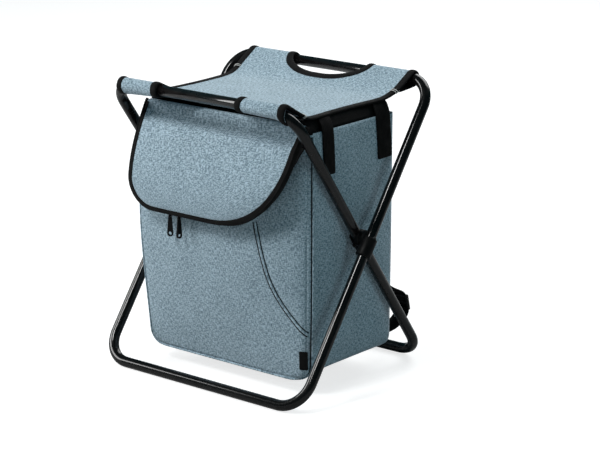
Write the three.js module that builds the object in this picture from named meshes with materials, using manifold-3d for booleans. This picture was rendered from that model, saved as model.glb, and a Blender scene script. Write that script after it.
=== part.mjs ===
// A folding cooler stool: two hinged tube frames, a cloth seat slung between their top bars,
// and an insulated bag that hangs below the seat.
// Millimetres, +Z up, the front faces -Y, the origin is on the floor at the middle of the stool.

import * as THREE from 'three';
import { mergeVertices } from 'three/addons/utils/BufferGeometryUtils.js';
import Module from 'manifold-3d';

const wasm = await Module();
wasm.setup();

// Driving sizes of the frames
const tubeDiameter = 15;
const tubeWall = 1.2;
const tubeSides = 16;
const boreSides = 12;
const bendRadius = 40;
const bendSteps = 6;
const topBarHeight = 412;
const topBarReach = 143.7;
const bottomBarReach = 149.7;
const outerHalfWidth = 180.8;
const frameStep = 19.9;
const innerHalfWidth = outerHalfWidth - frameStep;

// Driving sizes of the seat
const seatDrop = 20.5;
const seatHeight = topBarHeight - seatDrop;
const seatSlope = THREE.MathUtils.degToRad(30);
const seatCloth = 2;
const seatBendSoftness = 8;
const seatEndInset = 12.9;
const seatWaistInset = 8;
const seatEndHalfWidth = innerHalfWidth - seatEndInset;
const seatWaistHalfWidth = seatEndHalfWidth - seatWaistInset;
const bindingWidth = 6;
const bindingThickness = 3.2;
const notchHalfWidth = 72;
const notchDepth = 38;

// Driving sizes of the bag
const bagSideGap = 13.9;
const bagTaper = 2;
const bagHalfWidth = innerHalfWidth - bagSideGap;
const bagBottomHalfWidth = bagHalfWidth - bagTaper;
const bagFront = 92;
const bagRear = 95;
const bagBottom = 27;
const bagHang = 19.5;
const bagTop = seatHeight - bagHang;
const bagCloth = 2;
const foamThickness = 6;
const linerThickness = 1.2;
const frontSwell = 26;
const rearSwell = 8;
const leftCornerSwell = 18;

// Driving sizes of the lid
const lidOverhang = 12;
const lidHeight = 145;
const lidTop = bagTop + lidOverhang;
const lidBottom = lidTop - lidHeight;
const lidTopReach = 98;
const lidLift = 40;
const lidLeftInset = 9;
const lidRightInset = 0.5;
const lidLeft = bagHalfWidth - lidLeftInset;
const lidRight = bagHalfWidth - lidRightInset;
const lidLeftCorner = 44;
const lidRightCorner = 112;
const lidRightCornerWidth = 124;
const lidRightTaper = 6;
const lidThickness = 8;
const lidCrown = 9;

// Fits
const clearance = 0.3;
const seamGap = 0.7;
const overrun = 4;

// Worked-out places of the frames
const tubeRadius = tubeDiameter / 2;
const bottomBarHeight = tubeRadius;
const barRise = topBarHeight - bottomBarHeight;
const barSpread = topBarReach + bottomBarReach;
const pivotHeight = bottomBarHeight + barRise * bottomBarReach / barSpread;
const legLean = Math.atan2(barSpread, barRise);
const legAbovePivot = Math.hypot(topBarReach, topBarHeight - pivotHeight);
const legBelowPivot = Math.hypot(bottomBarReach, pivotHeight - bottomBarHeight);
const matingPlane = (outerHalfWidth + innerHalfWidth) / 2;

// Materials

const steelBlack = { color: 0x16171a, roughness: 0.32, metalness: 0.6 };
const plasticBlack = { color: 0x0d0d0f, roughness: 0.55, metalness: 0 };
const webbingBlack = { color: 0x131316, roughness: 0.9, metalness: 0 };
const seatBlue = { color: 0x93a5b1, roughness: 0.95, metalness: 0 };
const bagBlue = { color: 0x6f8490, roughness: 0.95, metalness: 0 };
const foamWhite = { color: 0xe4e4e0, roughness: 0.9, metalness: 0 };
const linerSilver = { color: 0xb9bdc2, roughness: 0.4, metalness: 0.4 };
const zincGrey = { color: 0x3a3b3e, roughness: 0.4, metalness: 0.8 };

// The scene graph: each frame is a group tilted about the pivot axis

const stool = new THREE.Group();

const outerFrame = new THREE.Group();
outerFrame.position.set(0, 0, pivotHeight);
outerFrame.rotation.x = -legLean;
outerFrame.updateMatrixWorld();

const innerFrame = new THREE.Group();
innerFrame.position.set(0, 0, pivotHeight);
innerFrame.rotation.x = legLean;
innerFrame.updateMatrixWorld();

stool.add(outerFrame, innerFrame);

function place(parent, name, geometry, look) {
  const mesh = new THREE.Mesh(geometry, new THREE.MeshStandardMaterial(look));
  mesh.name = name;
  parent.add(mesh);
  return mesh;
}

// Solids: a closed geometry becomes a manifold for cuts and joins, and goes back again

function solidOf(geometry) {
  const bare = geometry.index ? geometry.toNonIndexed() : geometry.clone();
  bare.deleteAttribute('normal');
  bare.deleteAttribute('uv');
  const merged = mergeVertices(bare);
  return new wasm.Manifold(new wasm.Mesh({
    numProp: 3,
    vertProperties: new Float32Array(merged.attributes.position.array),
    triVerts: new Uint32Array(merged.index.array),
  }));
}

function geometryOf(solid) {
  const mesh = solid.getMesh();
  const geometry = new THREE.BufferGeometry();
  geometry.setAttribute('position', new THREE.BufferAttribute(mesh.vertProperties, 3));
  geometry.setIndex(new THREE.BufferAttribute(mesh.triVerts, 1));
  geometry.computeVertexNormals();
  return geometry;
}

// Moves every vertex of a geometry by a function of its place
function reshape(geometry, move) {
  const place = geometry.attributes.position;
  const point = new THREE.Vector3();
  for (let i = 0; i < place.count; i += 1) {
    point.fromBufferAttribute(place, i);
    move(point);
    place.setXYZ(i, point.x, point.y, point.z);
  }
  geometry.computeVertexNormals();
  return geometry;
}

// A closed box whose faces are divided, given by its low and high corners
function dividedBox(low, high, steps) {
  const size = high.clone().sub(low);
  const box = new THREE.BoxGeometry(size.x, size.y, size.z, ...steps);
  const middle = low.clone().add(high).multiplyScalar(0.5);
  return box.translate(middle.x, middle.y, middle.z);
}

// A unit box, 0 to 1 along each axis, whose points a function maps into place
function mappedBox(steps, map) {
  const low = new THREE.Vector3(0, 0, 0);
  const high = new THREE.Vector3(1, 1, 1);
  return reshape(dividedBox(low, high, steps), (point) => {
    point.copy(map(point.x, point.y, point.z));
  });
}

// Turns a mirrored copy of a geometry right side out
function mirroredX(geometry) {
  const copy = geometry.index ? geometry.toNonIndexed() : geometry.clone();
  copy.scale(-1, 1, 1);
  const place = copy.attributes.position;
  const first = new THREE.Vector3();
  const last = new THREE.Vector3();
  for (let i = 0; i < place.count; i += 3) {
    first.fromBufferAttribute(place, i);
    last.fromBufferAttribute(place, i + 2);
    place.setXYZ(i, last.x, last.y, last.z);
    place.setXYZ(i + 2, first.x, first.y, first.z);
  }
  copy.computeVertexNormals();
  return copy;
}

// An extrusion along Z becomes one along X: the shape's own axes become Y and Z
function extrudedAlongX(shape, from, to, steps) {
  const geometry = new THREE.ExtrudeGeometry(shape, {
    depth: to - from,
    steps,
    bevelEnabled: false,
    curveSegments: 6,
  });
  const turn = new THREE.Matrix4().makeBasis(
    new THREE.Vector3(0, 1, 0),
    new THREE.Vector3(0, 0, 1),
    new THREE.Vector3(1, 0, 0),
  );
  return geometry.applyMatrix4(turn).translate(from, 0, 0);
}

// A cylinder along X between two places
function rodAlongX(radius, from, to, sides) {
  const rod = new THREE.CylinderGeometry(radius, radius, to - from, sides);
  return rod.rotateZ(Math.PI / 2).translate((from + to) / 2, 0, 0);
}

// Steel tube frames

// The centre line of a frame: a rectangle with rounded corners in the frame's own XZ plane.
// It starts and ends at the tube joint in the top bar.
class FrameLoop extends THREE.Curve {
  constructor(halfWidth, jointPlace, jointGap) {
    super();
    this.places = [];
    this.headings = [];
    const add = (x, z, headingX, headingZ) => {
      this.places.push(new THREE.Vector3(x, 0, z));
      this.headings.push(new THREE.Vector3(headingX, 0, headingZ));
    };
    const side = halfWidth - bendRadius;
    const high = legAbovePivot - bendRadius;
    const low = -legBelowPivot + bendRadius;
    const corners = [[-side, high], [-side, low], [side, low], [side, high]];
    add(jointPlace - jointGap / 2, legAbovePivot, -1, 0);
    corners.forEach(([x, z], corner) => {
      for (let step = 0; step <= bendSteps; step += 1) {
        const turn = (corner + 1 + step / bendSteps) * Math.PI / 2;
        const outX = Math.cos(turn);
        const outZ = Math.sin(turn);
        add(x + bendRadius * outX, z + bendRadius * outZ, -outZ, outX);
      }
    });
    add(jointPlace + jointGap / 2, legAbovePivot, -1, 0);
  }

  get steps() {
    return this.places.length - 1;
  }

  getPointAt(share) {
    return this.places[Math.round(share * this.steps)].clone();
  }

  getTangentAt(share) {
    return this.headings[Math.round(share * this.steps)].clone();
  }

  // The section's first axis points out of the loop and its second along +Y
  computeFrenetFrames() {
    const across = new THREE.Vector3(0, 1, 0);
    return {
      tangents: this.headings,
      normals: this.headings.map((heading) => across.clone().cross(heading)),
      binormals: this.headings.map(() => across),
    };
  }
}

// Points of a regular polygon with a flat side towards the given direction
function polygonPoints(flatRadius, sides, facing) {
  const radius = flatRadius / Math.cos(Math.PI / sides);
  return Array.from({ length: sides }, (_, i) => {
    const turn = facing + (i + 0.5) * 2 * Math.PI / sides;
    return new THREE.Vector2(radius * Math.cos(turn), radius * Math.sin(turn));
  });
}

function sweptLoop(loop, flatRadius, facing, boreRadius = 0) {
  const section = new THREE.Shape(polygonPoints(flatRadius, tubeSides, facing));
  if (boreRadius > 0) {
    section.holes.push(new THREE.Path(polygonPoints(boreRadius, boreSides, facing)));
  }
  return new THREE.ExtrudeGeometry(section, {
    extrudePath: loop,
    steps: loop.steps,
    bevelEnabled: false,
  });
}

const jointGap = 0.6;
const plugLength = 44;
const jointInset = 3;
const jointFromSide = bendRadius + plugLength / 2 + jointInset;
const outerJointPlace = jointFromSide - outerHalfWidth;
const innerJointPlace = jointFromSide - innerHalfWidth;
const outerLoop = new FrameLoop(outerHalfWidth, outerJointPlace, jointGap);
const innerLoop = new FrameLoop(innerHalfWidth, innerJointPlace, jointGap);

// Rivets through the crossing
const rivetRadius = 3;
const rivetSides = 12;
const rivetHeadRadius = 5.2;
const rivetHeadHeight = 1.8;
const rivetHole = rivetRadius + clearance;

function frameTube(loop, facing) {
  const tube = solidOf(sweptLoop(loop, tubeRadius, facing, tubeRadius - tubeWall));
  const reach = outerHalfWidth + tubeDiameter;
  const drill = solidOf(rodAlongX(rivetHole, -reach, reach, rivetSides));
  return geometryOf(tube.subtract(drill));
}

place(outerFrame, 'outer_frame_tube', frameTube(outerLoop, legLean), steelBlack);
place(innerFrame, 'inner_frame_tube', frameTube(innerLoop, -legLean), steelBlack);

// The plug inside each tube joint
function jointPlug(jointPlace, facing) {
  const flatRadius = tubeRadius - tubeWall - clearance;
  const section = new THREE.Shape(polygonPoints(flatRadius, boreSides, facing));
  const from = jointPlace - plugLength / 2;
  const plug = extrudedAlongX(section, from, from + plugLength, 1);
  return plug.translate(0, 0, legAbovePivot);
}

const quarterTurn = Math.PI / 2;
const plugOuter = jointPlug(outerJointPlace, quarterTurn - legLean);
const plugInner = jointPlug(innerJointPlace, quarterTurn + legLean);
place(outerFrame, 'outer_frame_joint_plug', plugOuter, zincGrey);
place(innerFrame, 'inner_frame_joint_plug', plugInner, zincGrey);

// Moulded collars at the crossing: a sleeve round each leg with a flat face to its neighbour
const collarRadius = 10.5;
const collarLength = 28;
const collarDrop = 12;
const collarChamfer = 1.6;
const collarSides = 24;
const bossRadius = 12;
const bossSides = 24;
const earWidth = 5;
const earHeight = 6;
const earReach = 3.2;

function collarBody() {
  const half = collarLength / 2;
  const neck = collarRadius - collarChamfer;
  const profile = [
    new THREE.Vector2(0, -half),
    new THREE.Vector2(neck, -half),
    new THREE.Vector2(collarRadius, -half + collarChamfer),
    new THREE.Vector2(collarRadius, half - collarChamfer),
    new THREE.Vector2(neck, half),
    new THREE.Vector2(0, half),
  ];
  const body = new THREE.LatheGeometry(profile, collarSides).rotateX(quarterTurn);
  body.translate(0, 0, -collarDrop);
  const ear = new THREE.BoxGeometry(earWidth, earReach + collarChamfer, earHeight);
  const earOut = collarRadius + (earReach - collarChamfer) / 2;
  ear.translate(0, earOut, half - collarDrop - earHeight / 2 - collarChamfer);
  return solidOf(body).add(solidOf(ear));
}

// One collar on the right leg of a frame; towards is +1 where its flat face looks along +X
function collar(halfWidth, facing, towards) {
  const boss = solidOf(rodAlongX(bossRadius, -collarRadius, collarRadius, bossSides));
  const faceShift = towards * (matingPlane - halfWidth) - clearance / 2;
  const bossEnd = collarRadius - tubeRadius;
  const bossSlab = solidOf(new THREE.BoxGeometry(bossEnd, 2 * bossRadius, 2 * bossRadius)
    .translate(towards * (faceShift - bossEnd / 2), 0, 0));
  const beyond = solidOf(new THREE.BoxGeometry(collarLength, 2 * collarLength, 2 * collarLength)
    .translate(towards * (faceShift + collarLength / 2), 0, 0));
  const boreRadius = tubeRadius + clearance;
  const boreSection = new THREE.Shape(polygonPoints(boreRadius, tubeSides, facing));
  const bore = new THREE.ExtrudeGeometry(boreSection, {
    depth: 2 * collarLength,
    bevelEnabled: false,
  }).translate(0, 0, -collarLength);
  const drill = solidOf(rodAlongX(rivetHole, -collarLength, collarLength, rivetSides));
  let body = collarBody().add(boss.intersect(bossSlab)).subtract(beyond);
  body = body.subtract(solidOf(bore)).subtract(drill);
  if (towards < 0) {
    const recess = rodAlongX(rivetHeadRadius + clearance, 0, collarLength, rivetSides);
    body = body.subtract(solidOf(recess));
  }
  return geometryOf(body).translate(halfWidth, 0, 0);
}

const outerCollar = collar(outerHalfWidth, legLean, -1);
const innerCollar = collar(innerHalfWidth, -legLean, 1);
place(outerFrame, 'outer_collar_right', outerCollar, plasticBlack);
place(outerFrame, 'outer_collar_left', mirroredX(outerCollar), plasticBlack);
place(innerFrame, 'inner_collar_right', innerCollar, plasticBlack);
place(innerFrame, 'inner_collar_left', mirroredX(innerCollar), plasticBlack);

// A rivet from a head inside the inner collar to a head sunk in the outer collar
function pivotRivet() {
  const innerFace = innerHalfWidth - collarRadius - clearance;
  const outerSeat = outerHalfWidth + tubeRadius + clearance;
  const headChamfer = rivetHeadHeight / 3;
  const profile = [
    new THREE.Vector2(0, innerFace - rivetHeadHeight),
    new THREE.Vector2(rivetHeadRadius - headChamfer, innerFace - rivetHeadHeight),
    new THREE.Vector2(rivetHeadRadius, innerFace - rivetHeadHeight + headChamfer),
    new THREE.Vector2(rivetHeadRadius, innerFace),
    new THREE.Vector2(rivetRadius, innerFace),
    new THREE.Vector2(rivetRadius, outerSeat),
    new THREE.Vector2(rivetHeadRadius, outerSeat),
    new THREE.Vector2(rivetHeadRadius, outerSeat + rivetHeadHeight - headChamfer),
    new THREE.Vector2(rivetHeadRadius - headChamfer, outerSeat + rivetHeadHeight),
    new THREE.Vector2(0, outerSeat + rivetHeadHeight),
  ];
  return new THREE.LatheGeometry(profile, rivetSides).rotateZ(-quarterTurn);
}

const rivet = pivotRivet();
place(outerFrame, 'pivot_rivet_right', rivet, steelBlack);
place(outerFrame, 'pivot_rivet_left', mirroredX(rivet), steelBlack);

// The seat's cloth: its top surface is level in the middle and climbs to each bar

const sleeveRadius = 9.9;
const sleeveTail = 22;
const sleeveEndInset = 2;
const sleeveOuterEnd = seatEndHalfWidth - sleeveEndInset;
const sleeveInnerEnd = 40;
const tailTopReach = topBarReach - sleeveRadius * Math.sin(seatSlope)
  - sleeveTail * Math.cos(seatSlope);
const tailTopHeight = topBarHeight + sleeveRadius * Math.cos(seatSlope)
  - sleeveTail * Math.sin(seatSlope);
const seatBendPlace = tailTopReach - (tailTopHeight - seatHeight) / Math.tan(seatSlope);

function seatTopAt(y) {
  const past = (Math.abs(y) - seatBendPlace) / seatBendSoftness;
  return seatHeight + Math.tan(seatSlope) * seatBendSoftness * Math.log(1 + Math.exp(past));
}

function seatHalfWidthAt(y) {
  const along = Math.abs(y) / tailTopReach;
  return seatWaistHalfWidth + (seatEndHalfWidth - seatWaistHalfWidth) * along ** 2;
}

// A strip of the seat between two shares of its half width, thick cloth measured down from its top
function seatSlab(lowShare, highShare, inset, thickness, rise, steps) {
  const end = tailTopReach - clearance;
  return mappedBox(steps, (u, v, w) => {
    const y = end * (2 * v - 1);
    const half = seatHalfWidthAt(y) - inset;
    const x = half * (lowShare + (highShare - lowShare) * u);
    return new THREE.Vector3(x, y, seatTopAt(y) + rise - thickness * (1 - w));
  });
}

// The rounded notch at a bar that leaves the bar bare as a hand grip
function notchSolid(sign, grow) {
  const outline = new THREE.Shape();
  outline.absellipse(0, 0, notchHalfWidth + grow, notchDepth + grow, 0, 2 * Math.PI);
  const prism = new THREE.ExtrudeGeometry(outline, {
    depth: topBarHeight - seatHeight + 4 * sleeveRadius,
    bevelEnabled: false,
    curveSegments: 16,
  });
  prism.translate(0, sign * topBarReach, seatHeight - 2 * sleeveRadius);
  return solidOf(prism);
}

const seatStepsX = 12;
const seatStepsY = 22;
const edgeInset = bindingWidth + clearance;
let seatPanel = solidOf(seatSlab(-1, 1, edgeInset, seatCloth, 0, [seatStepsX, seatStepsY, 1]));
seatPanel = seatPanel.subtract(notchSolid(1, edgeInset)).subtract(notchSolid(-1, edgeInset));
place(stool, 'seat_panel', geometryOf(seatPanel), seatBlue);

// Bindings of the seat's side edges and of the notches
const bindingRise = (bindingThickness - seatCloth) / 2;

function edgeBinding() {
  const end = tailTopReach - clearance;
  return mappedBox([1, seatStepsY, 1], (u, v, w) => {
    const y = end * (2 * v - 1);
    const x = seatHalfWidthAt(y) - bindingWidth * (1 - u);
    return new THREE.Vector3(x, y, seatTopAt(y) + bindingRise - bindingThickness * (1 - w));
  });
}

place(stool, 'seat_edge_binding_right', edgeBinding(), webbingBlack);
place(stool, 'seat_edge_binding_left', mirroredX(edgeBinding()), webbingBlack);

function notchBinding(sign) {
  const steps = [seatStepsX, seatStepsY, 1];
  const slab = solidOf(seatSlab(-1, 1, edgeInset, bindingThickness, bindingRise, steps));
  const ring = notchSolid(sign, bindingWidth).subtract(notchSolid(sign, 0));
  return geometryOf(slab.intersect(ring));
}

place(stool, 'rear_notch_binding', notchBinding(1), webbingBlack);
place(stool, 'front_notch_binding', notchBinding(-1), webbingBlack);

// Sleeves: the cloth goes round each bar and runs back as a tail to the seat panel.
// Section axes: the first points towards the middle of the stool, the second up.
function sleeveSection() {
  const down = new THREE.Vector2(Math.cos(seatSlope), -Math.sin(seatSlope));
  const out = new THREE.Vector2(Math.sin(seatSlope), Math.cos(seatSlope));
  const leave = out.clone().multiplyScalar(sleeveRadius);
  const tipTop = leave.clone().addScaledVector(down, sleeveTail);
  const tipLow = tipTop.clone().addScaledVector(out, -seatCloth);
  const tipTurn = Math.atan2(tipLow.y, tipLow.x);
  const grazeTurn = tipTurn - Math.acos(sleeveRadius / tipLow.length());
  const shape = new THREE.Shape();
  shape.moveTo(tipLow.x, tipLow.y);
  shape.lineTo(tipTop.x, tipTop.y);
  shape.absarc(0, 0, sleeveRadius, quarterTurn - seatSlope, 2 * Math.PI + grazeTurn, false);
  shape.closePath();
  return shape;
}

// How far the bent bar has dropped from its straight line at a place along X
function barDrop(halfWidth, x) {
  const into = Math.max(0, x - (halfWidth - bendRadius));
  return bendRadius - Math.sqrt(bendRadius ** 2 - into ** 2);
}

const sleeveEndCloth = 1.6;
const sleeveSteps = 10;

// The sleeve of one bar: the right one of the front bar, whose middle side is +Y, or turned half
// round, the left one of the rear bar. The loop that bores it has its joint at the bare grip.
function barSleeve(halfWidth, frame, facing, inward) {
  const geometry = extrudedAlongX(sleeveSection(), sleeveInnerEnd, sleeveOuterEnd, sleeveSteps);
  const dropAxis = new THREE.Vector2(Math.sin(legLean), -Math.cos(legLean));
  reshape(geometry, (point) => {
    const drop = barDrop(halfWidth, point.x);
    const into = Math.max(0, point.x - (halfWidth - bendRadius));
    const oblique = tubeRadius / Math.cos(Math.asin(into / bendRadius));
    const section = new THREE.Vector2(point.y, point.z);
    const low = section.dot(dropAxis);
    if (low > 0 && low <= sleeveRadius && drop > 0) {
      const grown = Math.max(sleeveRadius, drop + oblique + sleeveEndCloth);
      section.addScaledVector(dropAxis, low * (grown / sleeveRadius - 1));
    }
    point.y = section.x;
    point.z = section.y;
  });
  geometry.translate(0, -topBarReach, topBarHeight);
  const cloth = inward > 0 ? geometry : geometry.rotateZ(Math.PI);
  const loop = new FrameLoop(halfWidth, 0, jointGap);
  const bar = sweptLoop(loop, tubeRadius + clearance, facing).applyMatrix4(frame.matrix);
  const body = solidOf(cloth).subtract(solidOf(bar)).subtract(notchSolid(-inward, 0));
  return geometryOf(body);
}

const frontSleeveRight = barSleeve(innerHalfWidth, innerFrame, -legLean, 1);
const rearSleeveLeft = barSleeve(outerHalfWidth, outerFrame, legLean, -1);

place(stool, 'front_sleeve_right', frontSleeveRight, seatBlue);
place(stool, 'front_sleeve_left', mirroredX(frontSleeveRight), seatBlue);
place(stool, 'rear_sleeve_left', rearSleeveLeft, seatBlue);
place(stool, 'rear_sleeve_right', mirroredX(rearSleeveLeft), seatBlue);

// The bag: a box pattern that swells when it is filled

const bagHeight = bagTop - bagBottom;
const swellPeakPower = 1.3;
const swellSidePower = 2.6;

function bagWidthShareAt(z) {
  const down = THREE.MathUtils.clamp((bagTop - z) / bagHeight, 0, 1);
  return 1 - (1 - bagBottomHalfWidth / bagHalfWidth) * down ** 3;
}

function fillShareAt(z) {
  const up = THREE.MathUtils.clamp((z - bagBottom) / bagHeight, 0, 1);
  return Math.sin(Math.PI * up ** swellPeakPower);
}

function swellShareAt(x, z) {
  const across = Math.min(1, Math.abs(x) / bagHalfWidth);
  return (1 - across ** swellSidePower) * fillShareAt(z);
}

// The front's left edge is pushed forward, most at half height
const leftSwellPower = 3;

function leftSwellAt(x, z) {
  const left = Math.max(0, -x / bagHalfWidth) ** leftSwellPower;
  return leftCornerSwell * left * fillShareAt(z);
}

// Takes a point of the flat box pattern to its place on the filled bag
function filled(point) {
  const swell = swellShareAt(point.x, point.z);
  if (point.y < 0) {
    const forward = frontSwell * swell + leftSwellAt(point.x, point.z);
    point.y -= forward * (point.y / bagFront) ** 2;
  } else {
    point.y += rearSwell * swell * (point.y / bagRear) ** 2;
  }
  point.x *= bagWidthShareAt(point.z);
  return point;
}

function bagFrontAt(x, z) {
  const point = new THREE.Vector3(x / bagWidthShareAt(z), -bagFront, z);
  return filled(point).y;
}

function bagRearAt(x, z) {
  const point = new THREE.Vector3(x / bagWidthShareAt(z), bagRear, z);
  return filled(point).y;
}

function bagSlab(low, high, steps) {
  return reshape(dividedBox(low, high, steps), filled);
}

// The lid's outline, seen from the front
function lidLeftAt(z) {
  const low = Math.max(0, lidBottom + lidLeftCorner - z);
  const arc = Math.sqrt(Math.max(0, lidLeftCorner ** 2 - low ** 2));
  return -lidLeft + lidLeftCorner - arc;
}

const lidRightCornerTop = lidBottom + lidRightCorner;

function lidRightAt(z) {
  const low = Math.max(0, lidRightCornerTop - z) / lidRightCorner;
  const arc = lidRightCornerWidth * Math.sqrt(Math.max(0, 1 - low ** 2));
  const up = Math.max(0, z - lidRightCornerTop) / (lidTop - lidRightCornerTop);
  return lidRight - lidRightTaper * (1 - up) - lidRightCornerWidth + arc;
}

// The lid's front face at its rim leans forward towards the bottom
const lidLeanHeight = 120;

function lidFrontAt(z) {
  const down = THREE.MathUtils.clamp((lidTop - z) / lidLeanHeight, 0, 1);
  return -lidTopReach - lidLift * Math.sin(down * quarterTurn);
}

const lidStepsX = 14;
const lidStepsZ = 13;
const lidRowPower = 1.7;
const crownPower = 4;

function lidPanel() {
  return mappedBox([lidStepsX, 1, lidStepsZ], (u, v, w) => {
    const z = lidBottom + lidHeight * w ** lidRowPower;
    const x = THREE.MathUtils.lerp(lidLeftAt(z), lidRightAt(z), u);
    const crownAcross = 1 - Math.abs(2 * u - 1) ** crownPower;
    const crownUp = 1 - Math.abs(2 * w - 1) ** crownPower;
    const front = lidFrontAt(z) - lidCrown * crownAcross * crownUp;
    const back = lidFrontAt(z) + lidThickness;
    return new THREE.Vector3(x, THREE.MathUtils.lerp(front, back, v), z);
  });
}

place(stool, 'lid_panel', lidPanel(), bagBlue);

// The lid's outline as a run of points from its upper left, round the bottom, to its upper right
const runSideSteps = 6;
const runLeftCornerSteps = 7;
const runBottomSteps = 6;
const runRightCornerSteps = 14;

function lidRun(sideGrow, underGrow, runTop) {
  const bottom = lidBottom - underGrow;
  const leftCorner = lidLeftCorner + sideGrow;
  const rightHeight = lidRightCorner + sideGrow;
  const rightWidth = lidRightCornerWidth + sideGrow;
  const leftMiddle = lidLeftCorner - lidLeft;
  const rightMiddle = lidRight - lidRightTaper - lidRightCornerWidth;
  const leftRise = bottom + leftCorner;
  const rightRise = bottom + rightHeight;
  const taper = lidRightTaper / (lidTop - lidRightCornerTop);
  const points = [];
  for (let step = 0; step < runSideSteps; step += 1) {
    const z = THREE.MathUtils.lerp(runTop, leftRise, step / runSideSteps);
    points.push(new THREE.Vector2(leftMiddle - leftCorner, z));
  }
  for (let step = 0; step <= runLeftCornerSteps; step += 1) {
    const turn = Math.PI + quarterTurn * step / runLeftCornerSteps;
    const out = new THREE.Vector2(Math.cos(turn), Math.sin(turn)).multiplyScalar(leftCorner);
    points.push(out.add(new THREE.Vector2(leftMiddle, leftRise)));
  }
  for (let step = 1; step < runBottomSteps; step += 1) {
    const x = THREE.MathUtils.lerp(leftMiddle, rightMiddle, step / runBottomSteps);
    points.push(new THREE.Vector2(x, bottom));
  }
  for (let step = 0; step <= runRightCornerSteps; step += 1) {
    const turn = Math.PI + quarterTurn * (1 + step / runRightCornerSteps);
    const out = new THREE.Vector2(rightWidth * Math.cos(turn), rightHeight * Math.sin(turn));
    points.push(out.add(new THREE.Vector2(rightMiddle, rightRise)));
  }
  for (let step = 1; step <= runSideSteps; step += 1) {
    const z = THREE.MathUtils.lerp(rightRise, runTop, step / runSideSteps);
    points.push(new THREE.Vector2(rightMiddle + rightWidth + taper * (z - rightRise), z));
  }
  return points;
}

// A band that follows the lid's outline. Its near rim and far rim may lie at different distances
// outside the outline, at the sides and underneath; near and far give the rims' places along Y.
function lidBand(nearGrow, farGrow, thickness, runTop, near, far) {
  const rimRun = ([side, under], more) => lidRun(side + more, under + more, runTop);
  const runs = [
    rimRun(nearGrow, 0),
    rimRun(nearGrow, thickness),
    rimRun(farGrow, 0),
    rimRun(farGrow, thickness),
  ];
  const last = runs[0].length - 1;
  return mappedBox([last, 1, 1], (u, v, w) => {
    const rims = w > 0.5 ? runs.slice(2) : runs.slice(0, 2);
    const run = v > 0.5 ? rims[1] : rims[0];
    const at = run[Math.round(u * last)];
    const y = w > 0.5 ? far(at.x, at.y) : near(at.x, at.y);
    return new THREE.Vector3(at.x, y, at.y);
  });
}

const lidBindingThickness = 2.4;
const lidBindingLip = 1;
const lidBackAt = (x, z) => lidFrontAt(z) + lidThickness;
const lidBinding = lidBand(
  [seamGap, seamGap],
  [seamGap, seamGap],
  lidBindingThickness,
  lidTop,
  (x, z) => lidFrontAt(z) - lidBindingLip,
  (x, z) => lidBackAt(x, z) + lidBindingLip,
);
place(stool, 'lid_binding', lidBinding, webbingBlack);

// The zip gusset: a band from the front of the bag out to the lid's back
const gussetNearInset = 4;
const gussetSideInset = 3;
const gussetFarGrow = 6;
const gussetThickness = 1.6;
const gussetTopInset = 28;
const gussetTop = lidTop - gussetTopInset;
const zipGusset = lidBand(
  [-gussetNearInset, -gussetNearInset],
  [-gussetSideInset, gussetFarGrow],
  gussetThickness,
  gussetTop,
  (x, z) => lidBackAt(x, z) + seamGap,
  (x, z) => bagFrontAt(x, z) - seamGap,
);
place(stool, 'zip_gusset', zipGusset, webbingBlack);

// The mouth of the bag, cut through its front, the foam and the liner
const mouthInset = 10;
const mouthTop = bagTop - mouthInset;

function mouthSolid() {
  const outline = new THREE.Shape(lidRun(-mouthInset, -mouthInset, mouthTop));
  const prism = new THREE.ExtrudeGeometry(outline, {
    depth: bagFront,
    bevelEnabled: false,
  });
  prism.rotateX(quarterTurn);
  prism.translate(0, -bagFront / 2, 0);
  return solidOf(prism);
}

const mouth = mouthSolid();

// The bag's cloth panels
const seamInset = bagCloth + seamGap;
const clothInX = bagHalfWidth - bagCloth;
const clothInZ = bagBottom + bagCloth;
const v3 = (x, y, z) => new THREE.Vector3(x, y, z);

const frontLow = v3(-bagHalfWidth, -bagFront, clothInZ + seamGap);
const frontHigh = v3(bagHalfWidth, -bagFront + bagCloth, bagTop - seamInset);
const frontPanel = solidOf(bagSlab(frontLow, frontHigh, [14, 1, 12])).subtract(mouth);
place(stool, 'bag_front_panel', geometryOf(frontPanel), bagBlue);

const rearLow = v3(-bagHalfWidth, bagRear - bagCloth, clothInZ + seamGap);
const rearHigh = v3(bagHalfWidth, bagRear, bagTop - seamInset);
place(stool, 'bag_rear_panel', bagSlab(rearLow, rearHigh, [10, 1, 8]), bagBlue);

const sideLow = v3(clothInX, -bagFront + seamInset, clothInZ + seamGap);
const sideHigh = v3(bagHalfWidth, bagRear - seamInset, bagTop - seamInset);
const sidePanel = bagSlab(sideLow, sideHigh, [1, 6, 10]);
place(stool, 'bag_side_panel_right', sidePanel, bagBlue);
place(stool, 'bag_side_panel_left', mirroredX(sidePanel), bagBlue);

const baseLow = v3(-bagHalfWidth, -bagFront, bagBottom);
const baseHigh = v3(bagHalfWidth, bagRear, clothInZ);
place(stool, 'bag_base', bagSlab(baseLow, baseHigh, [8, 4, 1]), bagBlue);

const topLow = v3(-bagHalfWidth, -bagFront, bagTop - bagCloth);
const topHigh = v3(bagHalfWidth, bagRear, bagTop);
place(stool, 'bag_top_panel', bagSlab(topLow, topHigh, [8, 4, 1]), webbingBlack);

// Insulation and liner: two tubs inside the cloth, both open at the mouth
function tub(outerInset, thickness) {
  const steps = [10, 3, 8];
  const outerLow = v3(-bagHalfWidth + outerInset, -bagFront + outerInset, bagBottom + outerInset);
  const outerHigh = v3(bagHalfWidth - outerInset, bagRear - outerInset, bagTop - outerInset);
  const innerLow = outerLow.clone().addScalar(thickness);
  const innerHigh = outerHigh.clone().subScalar(thickness);
  const outer = solidOf(bagSlab(outerLow, outerHigh, steps));
  const inner = solidOf(bagSlab(innerLow, innerHigh, steps));
  return geometryOf(outer.subtract(inner).subtract(mouth));
}

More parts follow.
